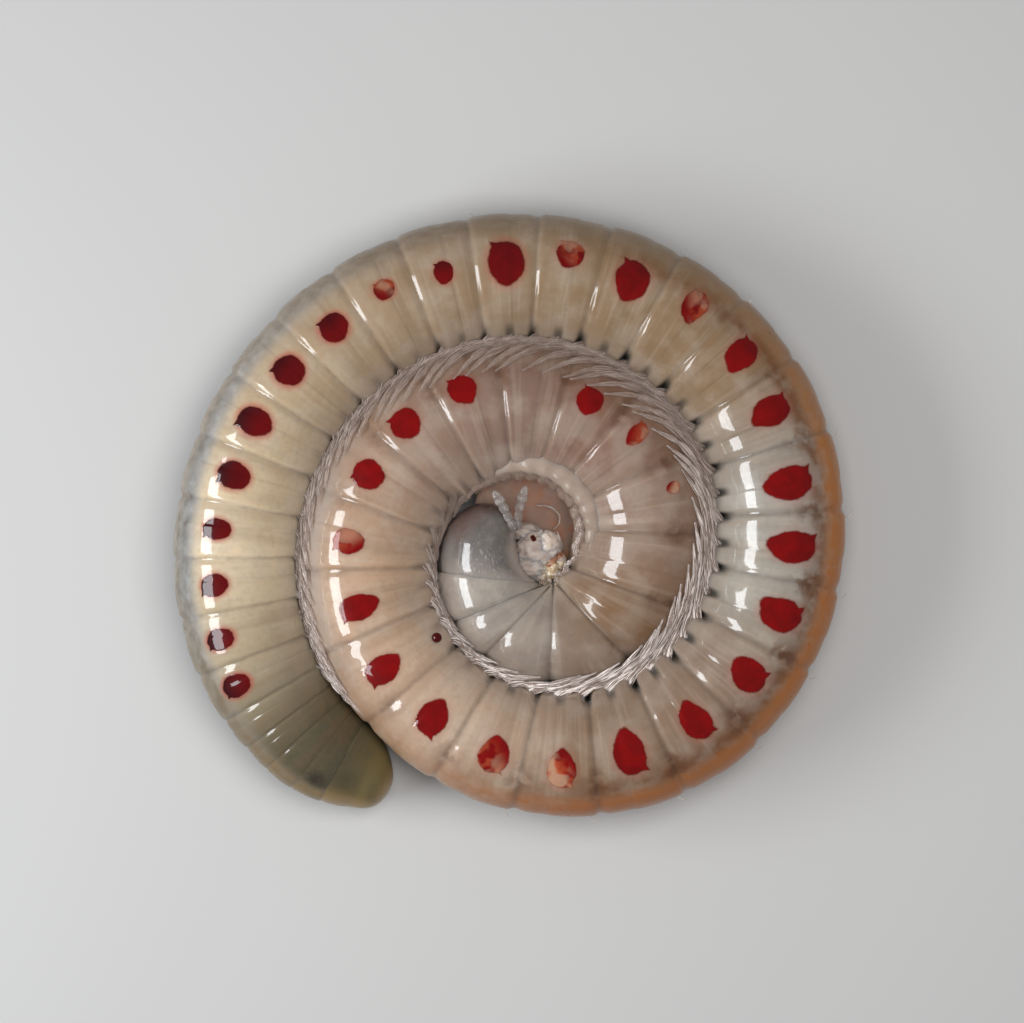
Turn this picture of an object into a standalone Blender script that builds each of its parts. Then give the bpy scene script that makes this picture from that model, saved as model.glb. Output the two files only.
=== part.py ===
"""A life-size snake millipede of the family Blaniulidae, coiled flat on its side.

The body is a tube of rings that follows a flat spiral, tail outside and head at the centre,
with its back to the outside and its legs to the inside. Shapes are made in millimetres about
the pivot of the coil, and then set down in metres with the middle of the coil at the origin.
"""

import math
import random

import bmesh
import bpy
import numpy as np

MM = 0.001

# The coil seen from above, turning clockwise from the tip of the tail to the front of the head.
# A station is a bearing clockwise from +X in degrees, and the distance of the body's axis
# from the pivot in mm.
COIL_STATIONS = (
    (128, 1.372),
    (139, 1.431),
    (149, 1.456),
    (180, 1.483),
    (225, 1.457),
    (270, 1.406),
    (315, 1.334),
    (360, 1.208),
    (405, 1.094),
    (450, 0.949),
    (495, 0.864),
    (540, 0.854),
    (585, 0.818),
    (630, 0.774),
    (675, 0.672),
    (720, 0.542),
    (765, 0.440),
    (810, 0.355),
    (855, 0.283),
    (900, 0.237),
    (950, 0.222),
)
# Half the width of the body, a station being a bearing and a size in mm.
WIDTH_STATIONS = (
    (128, 0.167),
    (139, 0.226),
    (149, 0.250),
    (160, 0.279),
    (176, 0.294),
    (200, 0.298),
    (270, 0.298),
    (340, 0.307),
    (400, 0.307),
    (450, 0.299),
    (560, 0.298),
    (690, 0.294),
    (780, 0.270),
    (860, 0.258),
    (950, 0.255),
)
# The innermost rings fan out from this point, because the body bends there as far as it can.
FAN_POINT = (0.0885, -0.108)
FAN_START = 700.0
FAN_FULL = 780.0
FAN_CLEAR = 0.06

# Rings, counted from the tail. A station is a ring and its length along the axis in mm.
FIRST_RING_AT = 0.13
PITCH_STATIONS = (
    (0, 0.126),
    (3, 0.142),
    (4, 0.212),
    (6, 0.250),
    (8, 0.265),
    (10, 0.290),
    (15, 0.298),
    (20, 0.320),
    (24, 0.339),
    (28, 0.328),
    (32, 0.297),
    (34, 0.285),
    (37, 0.262),
    (39, 0.302),
    (40, 0.250),
    (41, 0.226),
    (42, 0.188),
    (43, 0.136),
)
RING_COUNT = 44
LEGLESS_TAIL_RINGS = 4
COLLUM_LENGTH = 0.140
# The outlines of a ring and of the collum behind the head: place along the piece from its tail
# end, and share of the full width.
RING_OUTLINE = ((0.04, 0.955), (0.17, 1.0), (0.74, 1.0))
COLLUM_OUTLINE = ((0.0, 0.955), (0.15, 1.0), (0.8, 1.0), (1.0, 0.93))
# Rings in each length of the body, from the tail: the legless tail, then the lengths with legs.
RINGS_PER_LENGTH = (4, 4, 4, 4, 4, 4, 3, 3, 3, 3, 2, 2, 2, 1, 1)

BODY_SIDES = 18
# The corners of a section, turned so that one flat side points straight down.
CORNER_TURNS = np.radians(-90.0 + (np.arange(BODY_SIDES) + 0.5) * 360.0 / BODY_SIDES)
PIECE_GAP = 0.012
SHARP_FROM = 35.0

# Legs: the radius and the sweep towards the tail at each step from the root to the claw, and
# the places along a ring of its two pairs.
LEG_SIDES = 4
LEG_RADII = (0.023, 0.022, 0.018, 0.013, 0.004)
LEG_SWEEP = (-0.015, 0.02, 0.09, 0.17, 0.245)
LEG_PLACES = (0.30, 0.76)
# How deep the root starts, as a share of the half width, how far the axis of a leg rides off
# the hip and off the shell that it passes, and the turns up from the belly of root, hip, knee.
LEG_ROOT_DEPTH = 0.70
LEG_HIP_RIDE = 0.038
LEG_RIDE = 0.034
LEG_OFF_FLOOR = 0.022
LEG_ROOT_TURN = 25.0
LEG_HIP_TURN = 31.0
LEG_KNEE_TURN = 37.0
LEG_JITTER = 0.012
# Where the coil is tight the legs have less room: the room that counts as full, in shares of
# the reach, the least share they shrink to, and how much sweep and girth answer to it.
LEG_FULL_ROOM = 1.45
LEG_LEAST_ROOM = 0.4
LEG_SWEEP_POWER = 2.0
LEG_GIRTH_POWER = 0.7
# How far the claws lie in from the edge of the body that carries them, by bearing, in mm.
SPREAD_STATIONS = (
    (128, 0.10),
    (215, 0.11),
    (265, 0.18),
    (380, 0.20),
    (420, 0.15),
    (470, 0.11),
    (530, 0.11),
    (575, 0.13),
    (610, 0.11),
    (780, 0.06),
)
# Between these bearings the turn inside comes to its end, and from there on the legs keep to
# their own rings: at each step they stand off by this much more, and turn back to the belly by
# so many degrees.
OPEN_MIDDLE_FROM = 578.0
OPEN_MIDDLE_FULL = 604.0
OPEN_MIDDLE_RISE = 0.010
OPEN_MIDDLE_DROP = 2.5
SEED = 7

# The head's capsule goes on from the collum, swept round the fan point. A station is an angle
# round that point from the collum's front, the distances from it of the throat and of the
# crown, and half the height.
HEAD_STATIONS = (
    (0.0, 0.075, 0.560, 0.245),
    (13.0, 0.113, 0.582, 0.255),
    (25.0, 0.162, 0.590, 0.250),
    (35.0, 0.207, 0.566, 0.225),
    (43.0, 0.255, 0.530, 0.185),
    (49.0, 0.305, 0.485, 0.130),
    (53.0, 0.350, 0.440, 0.070),
)
HEAD_LEVEL = 0.262
# The mouthparts are lobes that lie against the throat: place from the pivot in plan and from
# the head's level, then half sizes along the face, across it and upwards.
MOUTH_TURN = 80.0
MOUTH_LOBES = (
    ((0.020, 0.042, 0.062), (0.105, 0.112, 0.066)),
    ((0.020, 0.042, -0.062), (0.105, 0.112, 0.066)),
    ((0.083, 0.020, 0.000), (0.115, 0.052, 0.105)),
    ((-0.040, 0.135, 0.000), (0.050, 0.080, 0.090)),
)
LOBE_ROWS = 6
LOBE_SIDES = 10
# Antennae: the bend points from the socket to the tip, and the thickness along the way.
ANTENNA_NEAR = ((-0.120, 0.190, 0.060), (-0.165, 0.262, 0.170), (-0.198, 0.330, 0.222))
ANTENNA_FAR = ((-0.108, 0.190, -0.060), (-0.062, 0.272, -0.040), (-0.036, 0.352, 0.030))
ANTENNA_RADII = (0.020, 0.027, 0.025, 0.030, 0.036, 0.037, 0.028, 0.012)
ANTENNA_SIDES = 8
# The first legs reach over the mouthparts: the angle in plan of each one's claw from the fan
# point, counted from +X, by ring.
FACE_LEG_TURNS = {41: 15.0, 42: 62.0, 43: 104.0}
FACE_LEG_ROUTE = ((0.085, 0.120), (0.010, 0.172), (-0.060, 0.205), (-0.115, 0.212))
FACE_LEG_RADII = (0.020, 0.017, 0.013, 0.005)
TELSON_OUTLINE = (
    (0.00, 0.16),
    (0.05, 0.40),
    (0.16, 0.68),
    (0.33, 0.88),
    (0.60, 0.99),
    (1.00, 0.965),
)
TELSON_LENGTH = 0.28

IVORY = (0.78, 0.70, 0.56)
PEARL = (0.72, 0.68, 0.64)
OLIVE = (0.55, 0.53, 0.38)
SILVER = (0.80, 0.78, 0.74)
CREAM = (0.82, 0.76, 0.66)


def curve_value(stations, place):
    """Read a smooth curve that runs through the stations, each slope taken from its neighbours."""
    places = np.array([station[0] for station in stations], float)
    values = np.array([station[1] for station in stations], float)
    slopes = np.gradient(values, places)
    place = np.clip(place, places[0], places[-1])
    i = np.clip(np.searchsorted(places, place) - 1, 0, len(places) - 2)
    span = places[i + 1] - places[i]
    t = (place - places[i]) / span
    start = (1 + 2 * t) * (1 - t) ** 2 * values[i] + t * (1 - t) ** 2 * span * slopes[i]
    end = t * t * (3 - 2 * t) * values[i + 1] + t * t * (t - 1) * span * slopes[i + 1]
    return start + end


def axis_point(bearing):
    """The place of the body's axis in plan, before the fan squeezes it."""
    reach = curve_value(COIL_STATIONS, bearing)
    turn = np.radians(bearing)
    return np.array([reach * np.cos(turn), -reach * np.sin(turn)])


def unit(vector):
    """The vector at length one."""
    return vector / np.linalg.norm(vector)


class Section:
    """One cross-section of the body: its centre, its way to the back, and its half sizes."""

    def __init__(self, bearing):
        point = axis_point(bearing)
        along = unit(axis_point(bearing + 0.5) - axis_point(bearing - 0.5))
        back = np.array([-along[1], along[0]])
        fan = np.array(FAN_POINT)
        share = min(max((bearing - FAN_START) / (FAN_FULL - FAN_START), 0.0), 1.0)
        share = share * share * (3 - 2 * share)
        from_fan = unit(point - fan)
        self.back = unit(back * (1 - share) + from_fan * share)
        self.along = np.array([self.back[1], -self.back[0]])
        full = float(curve_value(WIDTH_STATIONS, bearing))
        outer = point + self.back * full
        room = float(np.dot(outer - fan, self.back)) - FAN_CLEAR
        self.half_width = min(full, room / 2) if share > 0 else full
        self.half_height = full
        self.plan = outer - self.back * self.half_width
        self.level = full * math.cos(math.pi / BODY_SIDES)

    def place(self, back, up, along=0.0):
        """A point given by its distances from the centre to the back, upwards and along."""
        plan = self.plan + self.back * back + self.along * along
        return np.array([plan[0], plan[1], self.level + up])

    def outline(self, width_share, height_share, along=0.0):
        """The corners of the section, with one flat side straight down."""
        return [
            self.place(
                self.half_width * width_share * math.cos(turn),
                self.half_height * height_share * math.sin(turn),
                along,
            )
            for turn in CORNER_TURNS
        ]


BEARINGS = np.arange(COIL_STATIONS[0][0], COIL_STATIONS[-1][0] + 0.5, 0.5)
AXIS = axis_point(BEARINGS).T
LENGTHS = np.concatenate([[0.0], np.cumsum(np.linalg.norm(np.diff(AXIS, axis=0), axis=1))])


INNER_SECTIONS = [Section(bearing) for bearing in BEARINGS[::2]]
INNER_PLANS = np.array([section.plan for section in INNER_SECTIONS])


def turn_inside(own, bearing):
    """The section of the next turn inwards that lies straight across, and how far off it is."""
    near = (BEARINGS[::2] > bearing + 280) & (BEARINGS[::2] < bearing + 440)
    offsets = np.abs((INNER_PLANS - own.plan) @ own.along) + np.where(near, 0.0, 10.0)
    found = int(np.argmin(offsets))
    return INNER_SECTIONS[found], float((own.plan - INNER_PLANS[found]) @ own.back)


def bearing_at(length):
    """The bearing at a length along the axis from the tail's last full section."""
    return float(np.interp(length, LENGTHS, BEARINGS))


def ring_ends():
    """The lengths along the axis where the rings meet, from the tail."""
    ends = [FIRST_RING_AT]
    for ring in range(RING_COUNT):
        ends.append(ends[-1] + float(curve_value(PITCH_STATIONS, ring)))
    return ends


def mesh_object(name, points, faces):
    """A closed mesh object from points in mm."""
    mesh = bpy.data.meshes.new(name)
    mesh.from_pydata([tuple(point) for point in points], [], faces)
    mesh.validate()
    made = bpy.data.objects.new(name, mesh)
    bpy.context.scene.collection.objects.link(made)
    tidy = bmesh.new()
    tidy.from_mesh(mesh)
    bmesh.ops.recalc_face_normals(tidy, faces=tidy.faces)
    if tidy.calc_volume(signed=True) < 0:
        bmesh.ops.reverse_faces(tidy, faces=tidy.faces)
    tidy.to_mesh(mesh)
    tidy.free()
    return made


def loft(name, outlines):
    """Join outlines of equal corner counts into a closed tube with flat ends."""
    sides = len(outlines[0])
    points = [corner for outline in outlines for corner in outline]
    faces = [tuple(range(sides))]
    faces.append(tuple((len(outlines) - 1) * sides + side for side in range(sides)))
    for row in range(len(outlines) - 1):
        for side in range(sides):
            a = row * sides + side
            b = row * sides + (side + 1) % sides
            faces.append((a, b, b + sides, a + sides))
    return mesh_object(name, points, faces)


def tube(name, path, radii, sides):
    """A tapered limb along a path of points, closed at both ends."""
    path = [np.asarray(point, float) for point in path]
    outlines = []
    for i, point in enumerate(path):
        ahead = path[min(i + 1, len(path) - 1)]
        behind = path[max(i - 1, 0)]
        along = unit(ahead - behind)
        side = unit(np.cross(along, (0.0, 0.0, 1.0)))
        up = np.cross(side, along)
        turns = (np.arange(sides) + 0.5) * 2 * math.pi / sides
        outlines.append(
            [point + radii[i] * (side * math.cos(t) + up * math.sin(t)) for t in turns]
        )
    return loft(name, outlines)


def leg(start, upper, draw):
    """One leg: out of the belly, over the back of the next turn of the coil, towards the tail."""
    root = bearing_at(start)
    reach = float(curve_value(COIL_STATIONS, root))
    sway = draw.uniform(-LEG_JITTER, LEG_JITTER)
    lift = 1.0 if upper else -1.0
    room = LEG_FULL_ROOM * (reach - Section(root).half_width) / reach
    room = min(max(room, LEG_LEAST_ROOM), 1.0)
    path = []
    for step, sweep in enumerate(LEG_SWEEP):
        swept = (sweep + sway * step / (len(LEG_SWEEP) - 1)) * room**LEG_SWEEP_POWER
        path.append(leg_point(root - math.degrees(swept / reach), step, lift))
    return tube("leg", path, np.array(LEG_RADII) * room**LEG_GIRTH_POWER, LEG_SIDES)


def leg_point(bearing, step, lift):
    """Where a leg's axis lies at one step, from the sunk root and the hip to the claw."""
    own = Section(bearing)
    if step == 0:
        return beside(own, LEG_ROOT_TURN, own.half_width * (LEG_ROOT_DEPTH - 1), lift)
    if step == 1:
        return beside(own, LEG_HIP_TURN, LEG_HIP_RIDE, lift)
    turn = LEG_HIP_TURN - OPEN_MIDDLE_DROP * (step - 1)
    free = beside(own, turn, LEG_HIP_RIDE + OPEN_MIDDLE_RISE * (step - 1), lift)
    if bearing > OPEN_MIDDLE_FULL:
        return free
    laid = over_next_turn(own, bearing, (step - 2) / (len(LEG_SWEEP) - 3), lift)
    share = max((bearing - OPEN_MIDDLE_FROM) / (OPEN_MIDDLE_FULL - OPEN_MIDDLE_FROM), 0.0)
    return free * share + laid * (1 - share)


def beside(own, turn, ride, lift):
    """A place beside a leg's own ring: degrees up from the belly, and distance off the ring."""
    turn = math.radians(turn)
    inward = (own.half_width + ride) * math.cos(turn)
    return own.place(-inward, lift * (own.half_height + ride) * math.sin(turn))


def over_next_turn(own, bearing, share, lift):
    """A place over the back of the next turn inwards, from the knee to the claw."""
    spread = float(curve_value(SPREAD_STATIONS, bearing))
    next_turn, apart = turn_inside(own, bearing)
    wide = next_turn.half_width + LEG_RIDE
    high = next_turn.half_height + LEG_RIDE
    claw = math.acos(min(max((apart - own.half_width - spread) / wide, 0.1), 0.95))
    if lift < 0:
        claw = min(claw, math.asin((next_turn.level - LEG_OFF_FLOOR) / high))
    knee = math.radians(LEG_KNEE_TURN)
    turn = knee + (claw - knee) * share
    height = next_turn.level - own.level + lift * high * math.sin(turn)
    return own.place(wide * math.cos(turn) - apart, height)


def face_leg(ends, ring, upper):
    """A short leg of one of the first rings, folded over the mouthparts."""
    own = Section(bearing_at((ends[ring] + ends[ring + 1]) / 2))
    fan = np.array(FAN_POINT)
    turn = math.radians(FACE_LEG_TURNS[ring])
    ahead = np.array([math.cos(turn), math.sin(turn)])
    lift = 1.0 if upper else -1.0
    path = []
    for behind, height in FACE_LEG_ROUTE:
        plan = fan + own.back * (FAN_CLEAR + behind) if behind > 0 else fan - ahead * behind
        path.append(np.array([plan[0], plan[1], own.level + lift * height]))
    return tube("leg", path, FACE_LEG_RADII, LEG_SIDES)


def apply_change(target):
    """Work a piece's modifiers into its mesh, and keep the largest closed surface."""
    shape = bpy.data.meshes.new_from_object(
        target.evaluated_get(bpy.context.evaluated_depsgraph_get())
    )
    target.modifiers.clear()
    old = target.data
    target.data = shape
    bpy.data.meshes.remove(old)
    keep_largest(shape)


def unite(target, limbs):
    """Fuse closed limbs to the piece that they grow from."""
    group = bpy.data.collections.new(target.name + "_limbs")
    for limb in limbs:
        bpy.context.scene.collection.objects.unlink(limb)
        group.objects.link(limb)
    bpy.context.scene.collection.children.link(group)
    change = target.modifiers.new("union", "BOOLEAN")
    change.operation = "UNION"
    change.operand_type = "COLLECTION"
    change.collection = group
    apply_change(target)
    for limb in list(group.objects):
        bpy.data.objects.remove(limb)
    bpy.data.collections.remove(group)


def keep_largest(shape):
    """Drop every closed surface of a mesh but the one that holds the most."""
    work = bmesh.new()
    work.from_mesh(shape)
    left = set(work.verts)
    parts = []
    while left:
        seed = left.pop()
        part = {seed}
        front = [seed]
        while front:
            vert = front.pop()
            for edge in vert.link_edges:
                other = edge.other_vert(vert)
                if other not in part:
                    part.add(other)
                    front.append(other)
        left -= part
        parts.append(part)
    parts.sort(key=spread_of, reverse=True)
    scraps = [vert for part in parts[1:] for vert in part]
    bmesh.ops.delete(work, geom=scraps, context="VERTS")
    bmesh.ops.triangulate(work, faces=work.faces)
    work.to_mesh(shape)
    work.free()


def spread_of(part):
    """The size of the box round some vertices, to tell the body from a scrap."""
    places = np.array([vert.co[:] for vert in part])
    return float(np.prod(places.max(axis=0) - places.min(axis=0)))


def body_outlines(ends, first, last, start_gap, end_gap):
    """The outlines of the rings from first up to last, with a gap at each end of the length."""
    outlines = []
    for ring in range(first, last):
        length = ends[ring + 1] - ends[ring]
        for place, share in RING_OUTLINE:
            section = Section(bearing_at(ends[ring] + place * length))
            outlines.append(section.outline(share, share))
    neck = RING_OUTLINE[0][1]
    outlines[0] = Section(bearing_at(ends[first])).outline(neck, neck, start_gap)
    outlines.append(Section(bearing_at(ends[last])).outline(neck, neck, -end_gap))
    return outlines


def trunk(name, ends, first, last, draw):
    """One length of the body with the legs of its rings."""
    body = loft(name, body_outlines(ends, first, last, PIECE_GAP / 2, PIECE_GAP / 2))
    limbs = []
    for ring in range(max(first, LEGLESS_TAIL_RINGS), last):
        for upper in (True, False):
            if ring in FACE_LEG_TURNS:
                limbs.append(face_leg(ends, ring, upper))
                continue
            length = ends[ring + 1] - ends[ring]
            for place in LEG_PLACES:
                limbs.append(leg(ends[ring] + length * place, upper, draw))
    if limbs:
        unite(body, limbs)
    return body


def telson(ends):
    """The blunt last piece of the body."""
    front = ends[0]
    outlines = []
    for place, share in TELSON_OUTLINE:
        length = front - TELSON_LENGTH * (1 - place)
        section = Section(bearing_at(max(length, 0.0)))
        behind = min(length, 0.0)
        gap = PIECE_GAP / 2 if place == 1.0 else 0.0
        outlines.append(section.outline(share, share, behind - gap))
    return loft("telson", outlines)


def collum(ends):
    """The plate behind the head."""
    back = ends[-1]
    outlines = []
    for place, share in COLLUM_OUTLINE:
        gap = PIECE_GAP / 2 if place in (0.0, 1.0) else 0.0
        section = Section(bearing_at(back + COLLUM_LENGTH * place))
        outlines.append(section.outline(share, share, gap if place == 0.0 else -gap))
    return loft("collum", outlines)


def head_outlines(ends, grow):
    """The outlines of the head's capsule, grown by a margin on every side."""
    fan = np.array(FAN_POINT)
    neck = Section(bearing_at(ends[-1] + COLLUM_LENGTH)).back
    outlines = []
    for i, (angle, throat, crown, half_height) in enumerate(HEAD_STATIONS):
        turn = math.atan2(neck[1], neck[0]) - math.radians(angle)
        way = np.array([math.cos(turn), math.sin(turn)])
        ahead = np.array([way[1], -way[0]])
        shift = PIECE_GAP / 2 - grow if i == 0 else 0.0
        shift = grow if i == len(HEAD_STATIONS) - 1 else shift
        middle = fan + way * (throat + crown) / 2 + ahead * shift
        deep = (crown - throat) / 2 + grow
        high = half_height + grow
        outlines.append(
            [
                np.array([*(middle + way * deep * math.cos(t)), HEAD_LEVEL + high * math.sin(t)])
                for t in CORNER_TURNS
            ]
        )
    return outlines


def cut_off_head(piece, ends):
    """Cut a piece back to a gap's width from the head's capsule."""
    cutter = loft("cutter", head_outlines(ends, PIECE_GAP))
    change = piece.modifiers.new("cut", "BOOLEAN")
    change.operation = "DIFFERENCE"
    change.object = cutter
    apply_change(piece)
    bpy.data.objects.remove(cutter)


def lobe(name, centre, ways, sizes):
    """An ellipsoid with its poles on the first of its ways."""
    sides = LOBE_SIDES
    points = [centre - ways[0] * sizes[0]]
    for row in range(1, LOBE_ROWS):
        lean = math.pi * row / LOBE_ROWS
        for side in range(sides):
            turn = 2 * math.pi * (side + 0.5) / sides
            local = np.array(
                [-math.cos(lean), math.sin(lean) * math.cos(turn), math.sin(lean) * math.sin(turn)]
            )
            points.append(centre + (local * sizes) @ ways)
    points.append(centre + ways[0] * sizes[0])
    faces = []
    top = len(points) - 1
    for side in range(sides):
        beside = (side + 1) % sides
        faces.append((0, 1 + side, 1 + beside))
        faces.append((top, top - sides + beside, top - sides + side))
        for row in range(LOBE_ROWS - 2):
            a = 1 + row * sides
            faces.append((a + side, a + side + sides, a + beside + sides, a + beside))
    return mesh_object(name, points, faces)


def mouthparts(ends):
    """The jaws, the plate under them and the lip, as fused lobes cut just clear of the head."""
    turn = math.radians(MOUTH_TURN)
    ways = np.array(
        [
            [math.cos(turn), math.sin(turn), 0.0],
            [-math.sin(turn), math.cos(turn), 0.0],
            [0.0, 0.0, 1.0],
        ]
    )
    lobes = []
    for place, sizes in MOUTH_LOBES:
        centre = np.array([place[0], place[1], HEAD_LEVEL + place[2]])
        lobes.append(lobe("mouthparts", centre, ways, np.array(sizes)))
    unite(lobes[0], lobes[1:])
    cut_off_head(lobes[0], ends)
    return lobes[0]


def antenna(name, ends, bends):
    """An antenna that thickens towards its end, cut just clear of the head at its root."""
    start, middle, tip = (np.array(bend) + (0.0, 0.0, HEAD_LEVEL) for bend in bends)
    path = [
        start * (1 - t) ** 2 + middle * 2 * t * (1 - t) + tip * t * t
        for t in np.linspace(0.0, 1.0, len(ANTENNA_RADII))
    ]
    made = tube(name, path, ANTENNA_RADII, ANTENNA_SIDES)
    cut_off_head(made, ends)
    return made


def finish(name, colour, roughness):
    """A plain surface for one sub-part."""
    made = bpy.data.materials.new(name)
    made.use_nodes = True
    shader = made.node_tree.nodes["Principled BSDF"]
    shader.inputs["Base Color"].default_value = (*colour, 1.0)
    shader.inputs["Roughness"].default_value = roughness
    shader.inputs["Metallic"].default_value = 0.0
    return made


def set_down(pieces):
    """Turn mm into metres, with the middle of the whole animal's box over the origin."""
    corners = np.array([vert.co[:] for piece in pieces for vert in piece.data.vertices])
    middle = (corners.min(axis=0) + corners.max(axis=0)) / 2
    for piece in pieces:
        for vert in piece.data.vertices:
            vert.co.x = (vert.co.x - middle[0]) * MM
            vert.co.y = (vert.co.y - middle[1]) * MM
            vert.co.z = vert.co.z * MM
        piece.data.shade_smooth()
        piece.data.set_sharp_from_angle(angle=math.radians(SHARP_FROM))


def main():
    """Build every piece of the animal."""
    for old in list(bpy.data.objects):
        bpy.data.objects.remove(old)
    draw = random.Random(SEED)
    ends = ring_ends()
    pieces = [telson(ends)]
    surfaces = [finish("olive horn", OLIVE, 0.3)]
    first = 0
    count = len(RINGS_PER_LENGTH)
    for index, rings in enumerate(RINGS_PER_LENGTH):
        last = first + rings
        name = "tail_rings" if index == 0 else f"trunk_{count - index:02d}"
        pieces.append(trunk(name, ends, first, last, draw))
        surfaces.append(finish(f"ivory ring wall {index + 1}", IVORY, 0.3))
        first = last
    pieces.append(collum(ends))
    surfaces.append(finish("pearl collum", PEARL, 0.25))
    pieces.append(loft("head", head_outlines(ends, 0.0)))
    surfaces.append(finish("pearl head", PEARL, 0.3))
    pieces.append(mouthparts(ends))
    surfaces.append(finish("cream mouthparts", CREAM, 0.35))
    pieces.append(antenna("antenna_left", ends, ANTENNA_NEAR))
    surfaces.append(finish("silver antenna, left", SILVER, 0.3))
    pieces.append(antenna("antenna_right", ends, ANTENNA_FAR))
    surfaces.append(finish("silver antenna, right", SILVER, 0.3))
    for piece, surface in zip(pieces, surfaces):
        piece.data.materials.clear()
        piece.data.materials.append(surface)
    set_down(pieces)


main()
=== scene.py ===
"""A life-size snake millipede coiled flat on its side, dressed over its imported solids.

Shapes are surfaces on grids, worked out in millimetres about the pivot of the coil and then set
into the frame. A place on the animal is given by its length along the body from the tail, and by
its turn round the body: 0 at the back, 90 degrees at the side that faces up, 180 at the belly.
"""

import logging
import math
import random
from dataclasses import dataclass, field
from enum import Enum
from typing import Any, Union

import bpy
import numpy as np
from numpy.typing import NDArray
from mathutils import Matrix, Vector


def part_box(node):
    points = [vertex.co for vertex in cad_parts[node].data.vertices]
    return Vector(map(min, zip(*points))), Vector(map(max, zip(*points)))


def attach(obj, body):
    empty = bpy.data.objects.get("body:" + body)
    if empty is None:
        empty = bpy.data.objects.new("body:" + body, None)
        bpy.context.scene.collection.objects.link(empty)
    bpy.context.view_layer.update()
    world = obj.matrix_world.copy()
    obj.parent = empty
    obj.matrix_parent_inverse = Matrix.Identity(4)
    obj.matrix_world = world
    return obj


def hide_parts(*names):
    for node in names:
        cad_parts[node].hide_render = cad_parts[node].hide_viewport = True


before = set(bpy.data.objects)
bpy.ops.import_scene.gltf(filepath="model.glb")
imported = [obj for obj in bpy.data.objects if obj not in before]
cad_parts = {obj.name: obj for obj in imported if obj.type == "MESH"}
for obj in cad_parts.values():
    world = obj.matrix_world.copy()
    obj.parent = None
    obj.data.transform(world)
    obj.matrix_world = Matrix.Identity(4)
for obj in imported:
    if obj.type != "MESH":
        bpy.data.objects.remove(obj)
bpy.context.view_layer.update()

LOG = logging.getLogger("millipede")
MM = 0.001
BODY = "root"
# Added to the distance of places that don't count, as nothing on the animal is so far off, in mm.
FAR = 10.0

Array = NDArray[np.float64]
Pair = tuple[Array, Array]
Colour = tuple[float, float, float]
Spread = tuple[float, float, float]
Span = tuple[float, float]
Stations = tuple[Span, ...]
Stops = tuple[tuple[float, Colour], ...]
# Places of the two pairs of legs along a ring.
LEG_PLACES: Span = (0.30, 0.76)
# Limbs: the cosines between which a limb's painted edge sheen starts and is full, how far apart
# limbs lie when straightened, so that their patterns differ, and their radius there, as a share
# of their length.
EDGE_SHEEN_SPAN: Span = (0.80, 0.97)
LIMB_STEP = 3.7
LIMB_GIRTH = 0.05


def cubic(t: Array, ends: Pair, slopes: Pair, span: Array | float = 1.0) -> Array:
    """The cubic with given values and slopes at its ends, at a share t of the span between."""
    start = (1 + 2 * t) * (1 - t) ** 2 * ends[0] + t * (1 - t) ** 2 * span * slopes[0]
    finish = t * t * (3 - 2 * t) * ends[1] + t * t * (t - 1) * span * slopes[1]
    return start + finish


def smooth_curve(stations: Stations, place: Array) -> Array:
    """Read a curve that runs through stations, with each slope taken from its neighbours.

    Between two stations the value is a cubic whose ends have the stations' values and slopes.

    Args:
        stations: Pairs of a place and a value, in rising order of place.
        place: Where to read the curve.

    Returns:
        The curve's value at each place.
    """
    places = np.array([station[0] for station in stations], float)
    values = np.array([station[1] for station in stations], float)
    slopes = np.gradient(values, places)
    place = np.clip(place, places[0], places[-1])
    i = np.clip(np.searchsorted(places, place) - 1, 0, len(places) - 2)
    span = places[i + 1] - places[i]
    t = (place - places[i]) / span
    return cubic(t, (values[i], values[i + 1]), (slopes[i], slopes[i + 1]), span)


def ease(value: Array, low: float, high: float) -> Array:
    """Rise smoothly from 0 at low to 1 at high, flat at both ends; high may be under low."""
    t = np.clip((value - low) / (high - low), 0.0, 1.0)
    return t * t * (3 - 2 * t)


def bell(value: Array, middle: float, width: float) -> Array:
    """A soft bump of height one, e to the minus square of the distance over the width."""
    return np.exp(-(((value - middle) / width) ** 2))


def unit(vectors: Array) -> Array:
    """Each vector along the last axis, at length one."""
    return vectors / np.maximum(np.linalg.norm(vectors, axis=-1, keepdims=True), 1e-12)


def turns_round(count: int, offset: float = 0.0) -> Array:
    """Equal turns round a circle, the first of them an offset of one step from 0."""
    return (np.arange(count) + offset) * 2 * np.pi / count


@dataclass(frozen=True)
class Sections:
    """Cross-sections of the body, one for each entry of the arrays.

    Attributes:
        plan: The centre of each, seen from above.
        back: The unit way from the centre to the animal's back.
        along: The unit way along the body, from tail to head.
        half_width: Half the width from back to belly.
        half_height: Half the height.
        level: The height of the centre over the floor.
    """

    plan: Array
    back: Array
    along: Array
    half_width: Array
    half_height: Array
    level: Array

    def place(self, back: Array, up: Array, along: Array) -> Array:
        """Points given by their distances from the centres, to the back, upwards and along."""
        plan = self.plan + self.back * np.asarray(back)[..., None]
        plan = plan + self.along * np.asarray(along)[..., None]
        height = self.level + up
        return np.concatenate([plan, np.broadcast_to(height, plan.shape[:-1])[..., None]], -1)

    def spread(self) -> "Sections":
        """The same sections with one more axis, to be read at several turns each."""
        return Sections(
            self.plan[..., None, :],
            self.back[..., None, :],
            self.along[..., None, :],
            self.half_width[..., None],
            self.half_height[..., None],
            self.level[..., None],
        )


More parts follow.
